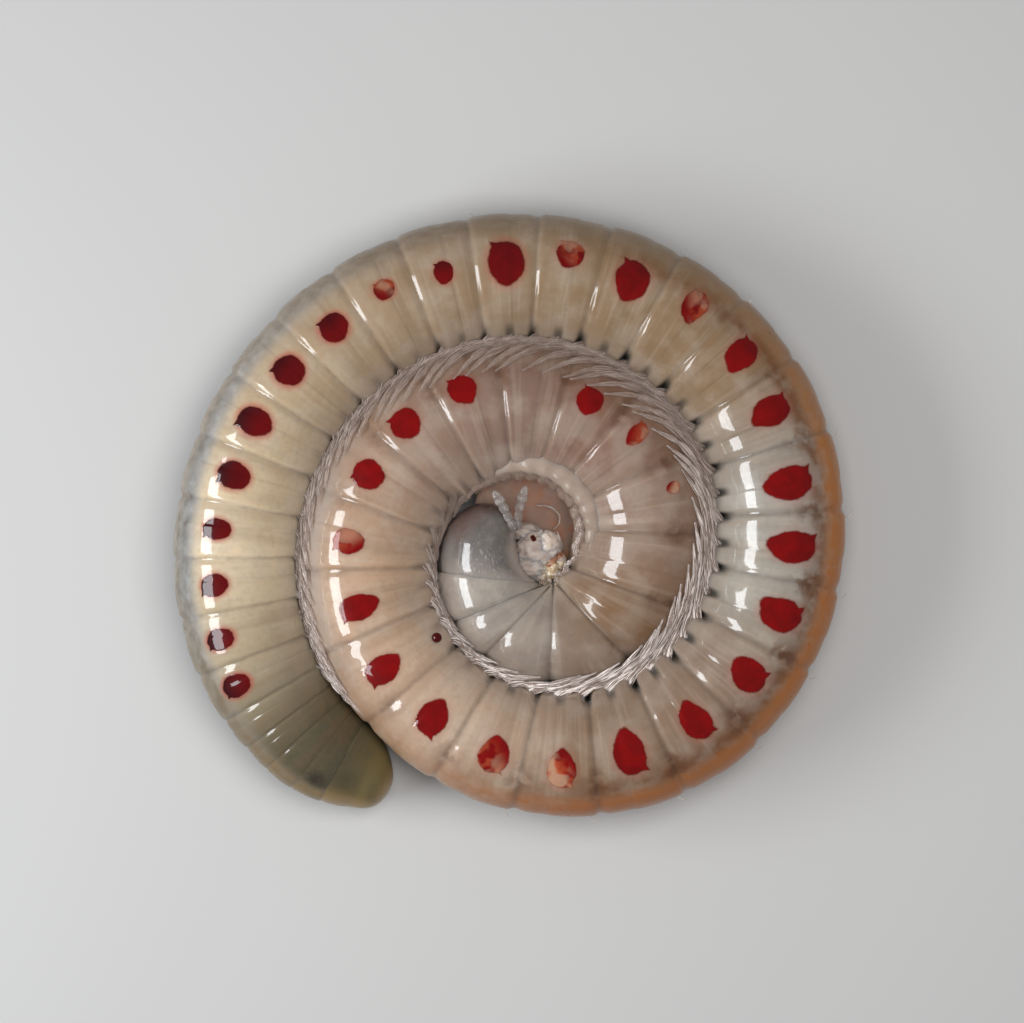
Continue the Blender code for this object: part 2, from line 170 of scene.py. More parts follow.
@dataclass(frozen=True)
class Coil:
    """The spiral that the body follows, from the tail outside to the neck at the centre.

    Bearings are degrees clockwise from +X, counted on from turn to turn. The innermost rings
    fan out from one point, because the body bends there as far as it can.
    """

    reach: Stations = (
        (128, 1.372), (139, 1.431), (149, 1.456), (180, 1.483), (225, 1.457), (270, 1.406),
        (315, 1.334), (360, 1.208), (405, 1.094), (450, 0.949), (495, 0.864), (540, 0.854),
        (585, 0.818), (630, 0.774), (675, 0.672), (720, 0.542), (765, 0.440), (810, 0.355),
        (855, 0.283), (900, 0.237), (950, 0.222),
    )  # fmt: skip
    width: Stations = (
        (128, 0.167), (139, 0.226), (149, 0.250), (160, 0.279), (176, 0.294), (200, 0.298),
        (270, 0.298), (340, 0.307), (400, 0.307), (450, 0.299), (560, 0.298), (690, 0.294),
        (780, 0.270), (860, 0.258), (950, 0.255),
    )  # fmt: skip
    pitch: Stations = (
        (0, 0.126), (3, 0.142), (4, 0.212), (6, 0.250), (8, 0.265), (10, 0.290), (15, 0.298),
        (20, 0.320), (24, 0.339), (28, 0.328), (32, 0.297), (34, 0.285), (37, 0.262), (39, 0.302),
        (40, 0.250), (41, 0.226), (42, 0.188), (43, 0.136),
    )  # fmt: skip
    ring_count: int = 44
    first_ring_at: float = 0.13
    legless_rings: int = 4
    collum_length: float = 0.140
    fan: tuple[float, float] = (0.0885, -0.108)
    fan_start: float = 700.0
    fan_full: float = 780.0
    fan_clear: float = 0.06
    facets: int = 18
    bearing_step: float = 0.5
    turn_ahead: Span = (280.0, 440.0)
    bearings: Array = field(init=False)
    lengths: Array = field(init=False)
    ends: Array = field(init=False)

    def __post_init__(self) -> None:
        """Measure the axis, and lay the rings' ends along it."""
        first, last = self.reach[0][0], self.reach[-1][0]
        bearings = np.arange(first, last + self.bearing_step, self.bearing_step)
        steps = np.linalg.norm(np.diff(self.axis(bearings), axis=0), axis=1)
        pitches = smooth_curve(self.pitch, np.arange(self.ring_count, dtype=float))
        object.__setattr__(self, "bearings", bearings)
        object.__setattr__(self, "lengths", np.concatenate([[0.0], np.cumsum(steps)]))
        object.__setattr__(
            self, "ends", self.first_ring_at + np.concatenate([[0.0], np.cumsum(pitches)])
        )

    def axis(self, bearing: Array) -> Array:
        """The body's axis in plan, before the fan squeezes it."""
        reach = smooth_curve(self.reach, bearing)
        turn = np.radians(bearing)
        return np.stack([reach * np.cos(turn), -reach * np.sin(turn)], -1)

    def sections(self, bearing: Array) -> Sections:
        """The cross-sections at some bearings.

        Each stands across the axis. In the fan it turns towards the fan point, and its belly
        side keeps clear of that point while its back stays where it was.

        Args:
            bearing: Bearings in degrees, in an array of any shape.

        Returns:
            One section for each bearing.
        """
        point = self.axis(bearing)
        along = unit(self.axis(bearing + 0.5) - self.axis(bearing - 0.5))
        back = np.stack([-along[..., 1], along[..., 0]], -1)
        fan = np.array(self.fan)
        share = ease(bearing, self.fan_start, self.fan_full)
        back = unit(back * (1 - share[..., None]) + unit(point - fan) * share[..., None])
        full = smooth_curve(self.width, bearing)
        outer = point + back * full[..., None]
        room = ((outer - fan) * back).sum(-1) - self.fan_clear
        half_width = np.where(share > 0, np.minimum(full, room / 2), full)
        return Sections(
            outer - back * half_width[..., None],
            back,
            np.stack([back[..., 1], -back[..., 0]], -1),
            half_width,
            full,
            full * math.cos(math.pi / self.facets),
        )

    def bearing_at(self, length: Array) -> Array:
        """The bearing at a length along the axis."""
        return np.interp(length, self.lengths, self.bearings)

    def length_at(self, bearing: Array) -> Array:
        """The length along the axis at a bearing."""
        return np.interp(bearing, self.bearings, self.lengths)

    def ring_at(self, length: Array) -> Pair:
        """The ring at a length along the axis, and the place in it, from 0 to 1."""
        ring = np.clip(np.searchsorted(self.ends, length, "right") - 1, 0, self.ring_count - 1)
        return ring, (length - self.ends[ring]) / (self.ends[ring + 1] - self.ends[ring])

    def length_in(self, ring: Array, phase: Array) -> Array:
        """The length along the axis at a place in a ring."""
        return self.ends[ring] + (self.ends[ring + 1] - self.ends[ring]) * phase

    def collum_bearing(self, place: Array) -> Array:
        """The bearing at a place along the collum, 0 at its tail end and 1 at its front."""
        return self.bearing_at(self.ends[-1] + self.collum_length * place)

    def turn_inside(self, own: Sections, bearing: Array) -> tuple[Sections, Array]:
        """Find the next turn inwards.

        Args:
            own: Sections of the body.
            bearing: Their bearings.

        Returns:
            The sections of the next turn that lie straight across, and how far off they are.
        """
        places = self.bearings[::2]
        inner = self.sections(places)
        offsets = np.abs(((inner.plan - own.plan[..., None, :]) * own.along[..., None, :]).sum(-1))
        ahead = places - bearing[..., None]
        nearest, furthest = self.turn_ahead
        offsets = offsets + np.where((ahead > nearest) & (ahead < furthest), 0.0, FAR)
        found = np.argmin(offsets, axis=-1)
        chosen = self.sections(places[found])
        return chosen, ((own.plan - chosen.plan) * own.back).sum(-1)


@dataclass(frozen=True)
class RingRelief:
    """The relief of the ring walls: how far out the wall stands, as a share of the full width.

    From its tail end a ring has a raised rim, a smooth hind part, a groove, and a lower front
    part that slips under the rim of the ring in front.
    """

    notch: float = 0.947
    rim_rise: float = 0.08
    crown: float = 0.014
    crest_at: float = 0.33
    crown_left: float = 0.7
    groove_at: float = 0.60
    groove_depth: float = 0.010
    groove_width: float = 0.022
    groove_run: float = 0.05
    front_drop: float = 0.010
    fall_from: float = 0.86
    sway: float = 0.006
    sway_turn: float = 2.4

    def share(self, phase: Array) -> Array:
        """The wall's place at a phase: rim rise, less crown, groove, front drop and last fall.

        Args:
            phase: Place along the ring, 0 at its tail end and 1 at its head end.

        Returns:
            The share of the full width.
        """
        depth = 1.0 - self.notch
        front = ease(phase, self.groove_at, self.groove_at + self.groove_run)
        wall = 1.0 - self.crown * ((phase - self.crest_at) / self.crest_at) ** 2 * (1 - front)
        wall = wall - (self.crown * self.crown_left + self.front_drop) * front
        wall = wall - self.groove_depth * bell(phase, self.groove_at, self.groove_width)
        fallen = depth - self.crown * self.crown_left - self.front_drop
        wall = wall - fallen * ease(phase, self.fall_from, 1.0)
        return self.notch + (wall - self.notch) * ease(phase, -0.01, self.rim_rise)


@dataclass
class Shell:
    """A mesh under construction.

    Attributes:
        points: Its corners.
        quads: Its four-sided faces.
        tris: Its three-sided faces.
        masks: Values at the corners, by name.
        straight: Where each corner would be if the animal lay straight along X.
    """

    points: Array
    quads: NDArray[np.int64]
    tris: NDArray[np.int64]
    masks: dict[str, Array] = field(default_factory=dict)
    straight: Array | None = None

    def signed_volume(self) -> float:
        """The volume inside, which is negative where the faces point inwards."""
        tris = np.concatenate([self.quads[:, :3], self.quads[:, [0, 2, 3]], self.tris])
        a, b, c = (self.points[tris[:, i]] for i in range(3))
        return float((a * np.cross(b, c)).sum() / 6)

    def face_outwards(self) -> "Shell":
        """Turn every face over if they point inwards."""
        if self.signed_volume() < 0:
            self.quads = self.quads[:, ::-1]
            self.tris = self.tris[:, ::-1]
        return self


def with_ends(rings: Array) -> Array:
    """List the corners of tubes, then the middles of their first rings and of their last."""
    flat = rings.reshape(-1, rings.shape[-1])
    return np.concatenate([flat, rings[:, 0].mean(axis=1), rings[:, -1].mean(axis=1)])


def close_tubes(rings: Array, masks: dict[str, Array], straight: Array | None = None) -> Shell:
    """Join rings of corners into closed tubes, each end shut by a fan to its middle.

    Corner r, c of a tube is joined to its neighbours r + 1 and c + 1, where c wraps round.

    Args:
        rings: Corners as an array of tubes, rings, corners and coordinates.
        masks: Values at the corners by name, as arrays of tubes, rings and corners.
        straight: Corners of the straightened shape, in the order of the rings.

    Returns:
        All the tubes as one shell, its faces pointing outwards.
    """
    tubes, rows, sides, _ = rings.shape
    count = tubes * rows * sides
    index = np.arange(count).reshape(tubes, rows, sides)
    beside = np.roll(index, -1, axis=2)
    quads = np.stack([index[:, :-1], beside[:, :-1], beside[:, 1:], index[:, 1:]], -1)
    starts = np.broadcast_to((count + np.arange(tubes))[:, None], (tubes, sides))
    finishes = starts + tubes
    first = np.stack([starts, beside[:, 0], index[:, 0]], -1)
    last = np.stack([finishes, index[:, -1], beside[:, -1]], -1)
    shell = Shell(
        with_ends(rings),
        quads.reshape(-1, 4),
        np.concatenate([first.reshape(-1, 3), last.reshape(-1, 3)]),
        {name: with_ends(values[..., None])[:, 0] for name, values in masks.items()},
        None if straight is None else with_ends(straight),
    )
    return shell.face_outwards()


def close_tube(rings: Array, masks: dict[str, Array], straight: Array | None = None) -> Shell:
    """Close one tube, whose arrays have no axis for tubes and whose masks may be rows alone."""
    return close_tubes(
        rings[None],
        {name: np.broadcast_to(mask, rings.shape[:2])[None] for name, mask in masks.items()},
        None if straight is None else straight[None],
    )


def ball_grid(rows: int, sides: int, margin: float) -> Array:
    """A unit ball as rings of corners round X, from a margin off one pole to the other's."""
    lean = np.linspace(margin, 1.0 - margin, rows)[:, None] * np.pi
    around = turns_round(sides)
    rim = np.sin(lean)
    run = -np.cos(lean) * np.ones_like(around)
    return np.stack([run, rim * np.cos(around), rim * np.sin(around)], -1)


def carry_profile(paths: Array, radii: Array, sides: int, flat: float = 1.0) -> Array:
    """Carry a round profile along paths.

    The profile stands across the path: one of its ways is level, the other points up from it.

    Args:
        paths: Points of the paths as an array of tubes, steps and coordinates.
        radii: Radius at each step of each tube.
        sides: Corners of the profile.
        flat: Height of the profile as a share of its width.

    Returns:
        Corners as an array of tubes, steps, corners and coordinates.
    """
    along = unit(np.gradient(paths, axis=1))
    side = unit(np.cross(along, np.array([0.0, 0.0, 1.0])))
    up = np.cross(side, along)
    turns = turns_round(sides, 0.5)
    around = side[:, :, None] * np.cos(turns)[:, None]
    around = around + up[:, :, None] * np.sin(turns)[:, None] * flat
    return paths[:, :, None] + around * radii[:, :, None, None]


def limb_shell(rings: Array, reach: float, lit: Array) -> Shell:
    """Close limbs from their corners, and mark the painted sheen on their edges, where the profile
    runs level.

    The straightened limbs run along X, each in a place of its own.

    Args:
        rings: Corners as an array of limbs, steps, corners and coordinates.
        reach: Length that the limbs have when straightened.
        lit: How strongly each limb's painted glints shine.

    Returns:
        The limbs as one shell.
    """
    limbs, steps, sides, _ = rings.shape
    turns = turns_round(sides, 0.5)
    # painted sheen on the limb's edges, as strong as its painted glints
    flank = ease(np.abs(np.cos(turns)), *EDGE_SHEEN_SPAN)
    run = np.linspace(0.0, reach, steps)[:, None] + LIMB_STEP * np.arange(limbs)[:, None, None]
    girth = LIMB_GIRTH * reach * np.ones_like(run)
    straight = np.stack([run + 0 * turns, girth * np.cos(turns), girth * np.sin(turns)], -1)
    shine = lit[:, None, None] * np.ones(rings.shape[:3])
    return close_tubes(rings, {"flank": flank * shine, "lit": shine}, straight)


def through_points(stops: Array, steps: int) -> Array:
    """Run smooth paths through their stops, with each slope taken from the stops beside it.

    Args:
        stops: Stops as an array of paths, stops and coordinates.
        steps: Points wanted on each path.

    Returns:
        Points as an array of paths, steps and coordinates.
    """
    count = stops.shape[1]
    place = np.linspace(0, count - 1, steps)
    i = np.minimum(place.astype(int), count - 2)
    t = (place - i)[:, None]
    slopes = np.gradient(stops, axis=1)
    return cubic(t, (stops[:, i], stops[:, i + 1]), (slopes[:, i], slopes[:, i + 1]))


class Wire:
    """One value of a material. Arithmetic on it adds Math nodes."""

    def __init__(self, bench: "Bench", socket: bpy.types.NodeSocket) -> None:
        """Keep the bench that the nodes stand on, and the socket that gives the value."""
        self.bench = bench
        self.socket = socket

    def maths(self, operation: str, first: "Value", second: "Value") -> "Wire":
        """Add a Math node.

        Args:
            operation: The node's operation.
            first: Its first value.
            second: Its second value.

        Returns:
            The result.
        """
        made = self.bench.node("ShaderNodeMath", {"operation": operation}, {0: first, 1: second})
        return Wire(self.bench, made.outputs[0])

    def __add__(self, other: "Value") -> "Wire":
        """This value and another."""
        return self.maths("ADD", self, other)

    def __radd__(self, other: "Value") -> "Wire":
        """Another value and this one."""
        return self.maths("ADD", other, self)

    def __sub__(self, other: "Value") -> "Wire":
        """This value less another."""
        return self.maths("SUBTRACT", self, other)

    def __rsub__(self, other: "Value") -> "Wire":
        """Another value less this one."""
        return self.maths("SUBTRACT", other, self)

    def __mul__(self, other: "Value") -> "Wire":
        """This value times another."""
        return self.maths("MULTIPLY", self, other)

    def __rmul__(self, other: "Value") -> "Wire":
        """Another value times this one."""
        return self.maths("MULTIPLY", other, self)

    def eased(self, low: float, high: float) -> "Wire":
        """This value, remade to rise smoothly from 0 at low to 1 at high."""
        made = self.bench.node(
            "ShaderNodeMapRange",
            {"interpolation_type": "SMOOTHSTEP"},
            {"Value": self, "From Min": low, "From Max": high},
        )
        return Wire(self.bench, made.outputs[0])


Value = Union[Wire, float]
Tint = Union[Wire, Colour]


class Bench:
    """The nodes of one material, and the few ways that this animal's finishes use them."""

    def __init__(self, name: str) -> None:
        """Start a material with its Principled shader."""
        self.material = bpy.data.materials.new(name)
        self.material.use_nodes = True
        self.tree = self.material.node_tree
        self.shader = self.tree.nodes["Principled BSDF"]

    def node(
        self, kind: str, settings: dict[str, Any], sockets: dict[Union[int, str], Any]
    ) -> bpy.types.Node:
        """Add a node.

        Args:
            kind: The node's type.
            settings: Its own settings, where stops are those of its colour ramp.
            sockets: What each input takes, by number or name: a wire, a number or a colour.

        Returns:
            The node.
        """
        made = self.tree.nodes.new(kind)
        for name, setting in settings.items():
            if name == "stops":
                self.set_stops(made.color_ramp, setting)
            else:
                setattr(made, name, setting)
        for name, value in sockets.items():
            self.feed(made.inputs[name], value)
        return made

    def set_stops(self, ramp: bpy.types.ColorRamp, stops: Stops) -> None:
        """Give a colour ramp its stops, as pairs of a place and a colour."""
        while len(ramp.elements) < len(stops):
            ramp.elements.new(0.5)
        for element, (place, colour) in zip(ramp.elements, stops):
            element.position = place
            element.color = (*colour, 1.0)

    def feed(self, socket: bpy.types.NodeSocket, value: Any) -> None:
        """Link a wire to an input, or set the input to a number or colour."""
        if isinstance(value, Wire):
            self.tree.links.new(value.socket, socket)
        elif isinstance(value, tuple) and socket.type == "RGBA":
            socket.default_value = (*value, 1.0)
        else:
            socket.default_value = value

    def mask(self, name: str) -> Wire:
        """A value that the mesh carries at its corners."""
        made = self.node(
            "ShaderNodeAttribute", {"attribute_type": "GEOMETRY", "attribute_name": name}, {}
        )
        return Wire(self, made.outputs["Fac"])

    def cloud(self, place: Wire, size: Spread, detail: float, seed: float) -> Wire:
        """Cloudy noise on some coordinates.

        Args:
            place: The coordinates.
            size: The size of the patches along X, Y and Z, in mm.
            detail: How many finer layers lie on it.
            seed: Moves the pattern, in patches.

        Returns:
            The noise, about 0.3 to 0.7.
        """
        scale = tuple(1 / (part * MM) for part in size)
        moved = self.node(
            "ShaderNodeMapping", {}, {"Vector": place, "Location": (seed,) * 3, "Scale": scale}
        )
        made = self.node(
            "ShaderNodeTexNoise",
            {},
            {"Vector": Wire(self, moved.outputs[0]), "Scale": 1.0, "Detail": detail},
        )
        return Wire(self, made.outputs[0])

    def noise(self, size: float, detail: float = 3.0, seed: float = 0.0) -> Wire:
        """Cloudy noise with patches of about a size in mm, the same in every direction."""
        place = self.node("ShaderNodeTexCoord", {}, {})
        return self.cloud(Wire(self, place.outputs["Object"]), (size,) * 3, detail, seed)

    def streaks(self, along: float, across: float, seed: float = 0.0) -> Wire:
        """Noise drawn out along the body, read where the animal would lie straight.

        Args:
            along: Length of the streaks in mm.
            across: Their width in mm.
            seed: Moves the pattern, in patches.

        Returns:
            The noise, about 0.3 to 0.7.
        """
        made = self.node(
            "ShaderNodeAttribute", {"attribute_type": "GEOMETRY", "attribute_name": "straight"}, {}
        )
        place = Wire(self, made.outputs["Vector"])
        return self.cloud(place, (along, across, across), 2.0, seed)

    def ramp(self, value: Wire, stops: Stops) -> Wire:
        """A colour read from a ramp of stops."""
        made = self.node("ShaderNodeValToRGB", {"stops": stops}, {0: value})
        return Wire(self, made.outputs[0])

    def layers(self, base: Tint, *coats: tuple[Value, Tint]) -> Tint:
        """Lay colours over a base, one after the other.

        Args:
            base: The lowest colour.
            coats: Pairs of an amount and a colour, where an amount of 1 hides what lies under.

        Returns:
            The mixed colour.
        """
        for amount, over in coats:
            sockets = {0: amount, 6: base, 7: over}
            made = self.node("ShaderNodeMix", {"data_type": "RGBA"}, sockets)
            base = Wire(self, made.outputs[2])
        return base

    def bump(self, height: Wire, depth: float) -> Wire:
        """A shading normal from a height of 0 to 1, which stands for a depth in mm."""
        made = self.node("ShaderNodeBump", {}, {"Height": height, "Distance": depth * MM})
        return Wire(self, made.outputs[0])


RING_TONES: Stops = (
    (0.000, (0.060, 0.052, 0.028)), (0.020, (0.095, 0.080, 0.045)),
    (0.036, (0.310, 0.250, 0.165)), (0.065, (0.640, 0.510, 0.340)),
    (0.100, (0.440, 0.330, 0.210)), (0.150, (0.285, 0.195, 0.120)),
    (0.190, (0.250, 0.165, 0.092)), (0.230, (0.230, 0.145, 0.078)),
    (0.262, (0.335, 0.310, 0.275)), (0.298, (0.310, 0.275, 0.230)),
    (0.322, (0.225, 0.150, 0.105)), (0.375, (0.230, 0.145, 0.090)),
    (0.390, (0.330, 0.225, 0.155)), (0.420, (0.480, 0.345, 0.250)),
    (0.500, (0.460, 0.305, 0.200)), (0.560, (0.300, 0.200, 0.150)),
    (0.600, (0.215, 0.135, 0.105)), (0.640, (0.215, 0.120, 0.085)),
    (0.700, (0.260, 0.170, 0.125)), (0.760, (0.200, 0.110, 0.055)),
    (0.830, (0.275, 0.235, 0.205)), (1.000, (0.280, 0.245, 0.215)),
)  # fmt: skip
RIM_TONES: Stops = (
    (0.00, (0.220, 0.140, 0.050)), (0.06, (0.090, 0.070, 0.050)),
    (0.20, (0.200, 0.125, 0.060)), (0.26, (0.350, 0.115, 0.010)),
    (0.38, (0.330, 0.105, 0.018)), (0.47, (0.250, 0.120, 0.050)),
    (0.60, (0.230, 0.130, 0.085)),
)  # fmt: skip


@dataclass(frozen=True)
class Finish:
    """A glossy horn. Its kinds give its colours, and their own relief.

    Attributes:
        name: The material's name.
        tone: Its main colour.
        roughness: Its roughness, which wavers a little.
        coat: The strength of the clear coat.
        coat_roughness: The roughness of the coat.
        glow: How much of the light comes back from inside.
        glow_depth: How far that light goes, in mm.
        glow_spread: How far each colour goes, as a share of that.
        sheen: The strength of the reflection under the coat.
    """

    name: str
    tone: Colour
    roughness: float = 0.30
    coat: float = 0.8
    coat_roughness: float = 0.045
    glow: float = 0.5
    glow_depth: float = 0.09
    glow_spread: Spread = (1.0, 0.65, 0.40)
    sheen: float = 0.22

    def toned(self, share: float) -> Colour:
        """The main colour, darker or lighter by a share."""
        return tuple(share * part for part in self.tone)

    def colour(self, bench: Bench) -> Tint:
        """The base colour."""
        raise NotImplementedError(self.name)

    def relief(self, bench: Bench) -> Wire:
        """The shading normal: a fine grain."""
        return bench.bump(bench.noise(0.02), 0.0012)

    def dress(self, bench: Bench) -> None:
        """Feed whatever else a kind of horn needs; plain horn needs nothing."""

    def make(self) -> bpy.types.Material:
        """Make the material, with what is the same all over set on the shader itself."""
        bench = Bench(self.name)
        fixed = {
            "Specular IOR Level": self.sheen,
            "Coat Weight": self.coat,
            "Coat Roughness": self.coat_roughness,
            "Subsurface Weight": self.glow,
            "Subsurface Scale": self.glow_depth * MM,
            "Subsurface Radius": self.glow_spread,
        }
        for socket, value in fixed.items():
            bench.shader.inputs[socket].default_value = value
        rough = self.roughness + (bench.noise(0.05, 2.0, 3.0) - 0.5) * 0.12
        bench.feed(bench.shader.inputs["Base Color"], self.colour(bench))
        bench.feed(bench.shader.inputs["Roughness"], rough)
        bench.feed(bench.shader.inputs["Normal"], self.relief(bench))
        self.dress(bench)
        return bench.material


@dataclass(frozen=True)
class RingFinish(Finish):
    """The ring walls: tones along the body, warm rims, mottles, gland stains, a painted sheen and
    painted shade.
    """

    def colour(self, bench: Bench) -> Tint:
        """Tones along the body, and over them veils, hoops, rims, mottles, seams, stains, a painted
        sheen and painted shade.
        """
        journey, edge = bench.mask("journey"), bench.mask("rim")
        grown = journey.eased(0.02, 0.06)
        veil = bench.noise(0.17, 4.0).eased(0.40, 0.66)
        hoops = bench.streaks(0.095, 0.90, 3.0).eased(0.40, 0.66)
        pale = bench.streaks(0.030, 0.55, 5.0).eased(0.50, 0.66)
        grain = bench.noise(0.030, 2.0, 7.0).eased(0.42, 0.72)
        blotch = bench.noise(0.10, 3.0, 15.0).eased(0.40, 0.60) * 0.55 + 0.45
        border = edge.eased(0.0, 0.5) * (bench.noise(0.06, 3.0, 5.0) - 0.5)
        smudge = bench.noise(0.07, 4.0, 11.0).eased(0.40, 0.58)
        worn = bench.noise(0.09, 3.0, 6.0).eased(0.36, 0.60) * 0.20 + 0.06
        gut = bench.noise(0.03, 3.0, 9.0).eased(0.30, 0.60) * 0.6 + 0.4
        return bench.layers(
            bench.ramp(journey, RING_TONES),
            (veil * grown * 0.26, (0.50, 0.44, 0.37)),
            (hoops * 0.24, (0.16, 0.09, 0.045)),
            (pale * grown * 0.11, (0.60, 0.50, 0.40)),
            (grain * 0.14, (0.20, 0.13, 0.08)),
            # painted sheen: a pale blue-grey on the back flanks that face the key light
            (bench.mask("frost") * 0.9, (0.43, 0.45, 0.46)),
            (bench.mask("shade") * blotch, (0.150, 0.048, 0.008)),
            (edge + border * 0.9, bench.ramp(journey, RIM_TONES)),
            (bench.mask("mottle") * smudge, (0.105, 0.038, 0.014)),
            (bench.mask("seam") * worn, (0.12, 0.065, 0.035)),
            (bench.mask("belly") * grown * 0.35, (0.36, 0.30, 0.25)),
            # painted shade: near-black green in the slits between the legs' lobes
            (bench.mask("gap") * 0.95, (0.010, 0.014, 0.011)),
            (bench.mask("smudge") * gut, (0.025, 0.018, 0.012)),
            (bench.mask("halo") * 0.7, (0.40, 0.05, 0.03)),
        )

    def relief(self, bench: Bench) -> Wire:
        """Fine lines along the body, over a soft grain."""
        lines = bench.streaks(0.09, 0.012, 2.0) * bench.noise(0.12, 2.0, 2.0).eased(0.45, 0.62)
        dents = bench.streaks(0.06, 0.06, 8.0)
        striae = bench.streaks(0.20, 0.016, 4.0).eased(0.40, 0.62) * bench.mask("striae")
        fine = bench.noise(0.02, 2.0) * 0.14
        return bench.bump(lines * 0.35 + striae * 0.12 + dents + fine, 0.0024)

    def dress(self, bench: Bench) -> None:
        """Wear the coat thin towards the back, where the horn is matt and see-through."""
        bench.feed(bench.shader.inputs["Coat Weight"], 1.0 - bench.mask("edge") * 0.85)


@dataclass(frozen=True)
class BellyFinish(Finish):
    """Soft belly: clouded, with painted shade darkening its depth, and stained orange in patches.

    Attributes:
        cloud_tone: The tone of the clouds.
        stain: How strong the orange stain is.
    """

    cloud_tone: Colour = (0.22, 0.13, 0.095)
    stain: float = 0.45

    def colour(self, bench: Bench) -> Tint:
        """Clouds, an orange stain, and painted shade in the depth."""
        cloud = bench.noise(0.08, 3.0).eased(0.36, 0.68)
        stain = bench.noise(0.11, 3.0, 4.0).eased(0.50, 0.66)
        return bench.layers(
            self.tone,
            (cloud * 0.5, self.cloud_tone),
            (stain * self.stain, (0.46, 0.13, 0.035)),
            # painted shade: darker towards the low middle of the fold
            (bench.mask("deep") * 0.4, (0.26, 0.155, 0.115)),
        )

    def relief(self, bench: Bench) -> Wire:
        """Soft wrinkles."""
        return bench.bump(bench.noise(0.04, 3.0), 0.004)


@dataclass(frozen=True)
class TailFinish(Finish):
    """The blunt tail: olive-grey and see-through, amber at its edge, with a dark smudge."""

    def colour(self, bench: Bench) -> Tint:
        """Olive clouds, amber towards the edges, and the smudge of the gut's end."""
        cloud = bench.noise(0.10, 3.0).eased(0.35, 0.70)
        return bench.layers(
            self.tone,
            (cloud * 0.5, (0.080, 0.070, 0.045)),
            (bench.mask("front") * 0.8, (0.085, 0.070, 0.042)),
            (bench.mask("rim"), (0.250, 0.160, 0.060)),
            (bench.mask("smudge") * 0.35, (0.030, 0.024, 0.014)),
        )


@dataclass(frozen=True)
class GlandFinish(Finish):
    """The red glands: crimson, darker at one edge, pale orange where they are drained."""

    def colour(self, bench: Bench) -> Tint:
        """Crimson clouded with maroon, and orange or bare where the gland is empty."""
        cloud = bench.noise(0.07, 3.0).eased(0.35, 0.65)
        drained = bench.mask("drained")
        return bench.layers(
            self.tone,
            (cloud * 0.5, (0.100, 0.0, 0.0)),
            (bench.mask("dusk"), (0.022, 0.0, 0.001)),
            (drained * bench.noise(0.060, 1.5, 4.0).eased(0.36, 0.54), (0.42, 0.085, 0.030)),
            (drained * bench.noise(0.080, 1.5, 9.0).eased(0.44, 0.58), (0.40, 0.25, 0.16)),
        )

    def dress(self, bench: Bench) -> None:
        """Let the verge fade into the wall, unevenly."""
        fray = bench.noise(0.016, 2.0, 2.0).eased(0.35, 0.65)
        bench.feed(bench.shader.inputs["Alpha"], 1.0 - bench.mask("verge") * (0.55 + fray * 0.4))


@dataclass(frozen=True)
class MouthFinish(Finish):
    """The mouthparts: chalky white, with a dark red hole painted as shade, an orange furrow, and a
    golden hem with painted glints.
    """

    ground: Colour = (0.46, 0.38, 0.335)

    def colour(self, bench: Bench) -> Tint:
        """Pinkish grey clouds, then the white patch, hem, painted glints, furrow, and the hole's
        painted shade, as the mesh marks them.
        """
        hem, hole = bench.mask("hem"), bench.mask("hole")
        cloud = bench.noise(0.045, 4.0).eased(0.40, 0.66)
        fray = bench.noise(0.022, 3.0, 3.0) - 0.5
        painted_hem_glints = bench.noise(0.020, 2.0, 8.0).eased(0.52, 0.60)
        furrow = (bench.mask("furrow") + fray * 1.4).eased(0.42, 0.66)
        return bench.layers(
            self.ground,
            (cloud * 0.6, (0.30, 0.215, 0.18)),
            ((bench.mask("patch") + fray * 2.2).eased(0.40, 0.62), self.tone),
            ((hem + fray * 0.9).eased(0.35, 0.65) * 0.9, (0.42, 0.29, 0.17)),
            # painted glints: pale specks on the golden hem
            (hem * painted_hem_glints * 0.8, (0.80, 0.69, 0.55)),
            (furrow * 0.85, (0.27, 0.095, 0.040)),
            ((hole + fray * 1.6).eased(0.15, 0.55) * 0.45, (0.46, 0.36, 0.24)),
            # painted shade: the mouth opening, dark red
            ((hole + fray * 1.8).eased(0.50, 0.70), (0.045, 0.001, 0.001)),
        )

    def relief(self, bench: Bench) -> Wire:
        """Crumpled folds."""
        return bench.bump(bench.noise(0.05, 4.0) + bench.noise(0.015, 3.0) * 0.25, 0.010)


@dataclass(frozen=True)
class PearlFinish(Finish):
    """The head's horn: pearl-grey, mauve over the crown deepened by painted shade, and pale cheek
    lines painted as glints.
    """

    def colour(self, bench: Bench) -> Tint:
        """Pearl clouds, pale streaks, pale lines painted as glints, and a mauve crown darkened by
        painted shade.
        """
        cloud = bench.noise(0.10, 3.0).eased(0.35, 0.68)
        streak = bench.noise(0.035, 4.0, 6.0).eased(0.46, 0.72)
        lines = bench.streaks(0.60, 0.011, 3.0).eased(0.57, 0.66)
        return bench.layers(
            self.tone,
            (cloud * 0.6, self.toned(1.5)),
            (streak * 0.30, (0.26, 0.21, 0.18)),
            # painted glints: fine pale lines along the cheek's striae
            (lines * bench.mask("cheek") * 0.5, (0.55, 0.52, 0.49)),
            (bench.mask("pale") * 0.8, (0.36, 0.30, 0.26)),
            # painted shade: darker mauve over the crown, under the turn that lies over it, on the
            # head's own mauve
            (bench.mask("dark") * 0.8, (0.115, 0.062, 0.052)),
        )

    def relief(self, bench: Bench) -> Wire:
        """Fine curved lines on the cheek over soft dents."""
        lines = bench.streaks(0.60, 0.011, 3.0) * bench.mask("cheek")
        dents = bench.noise(0.045, 3.0, 2.0) + bench.noise(0.015) * 0.12
        return bench.bump(lines * 0.35 + dents, 0.006)


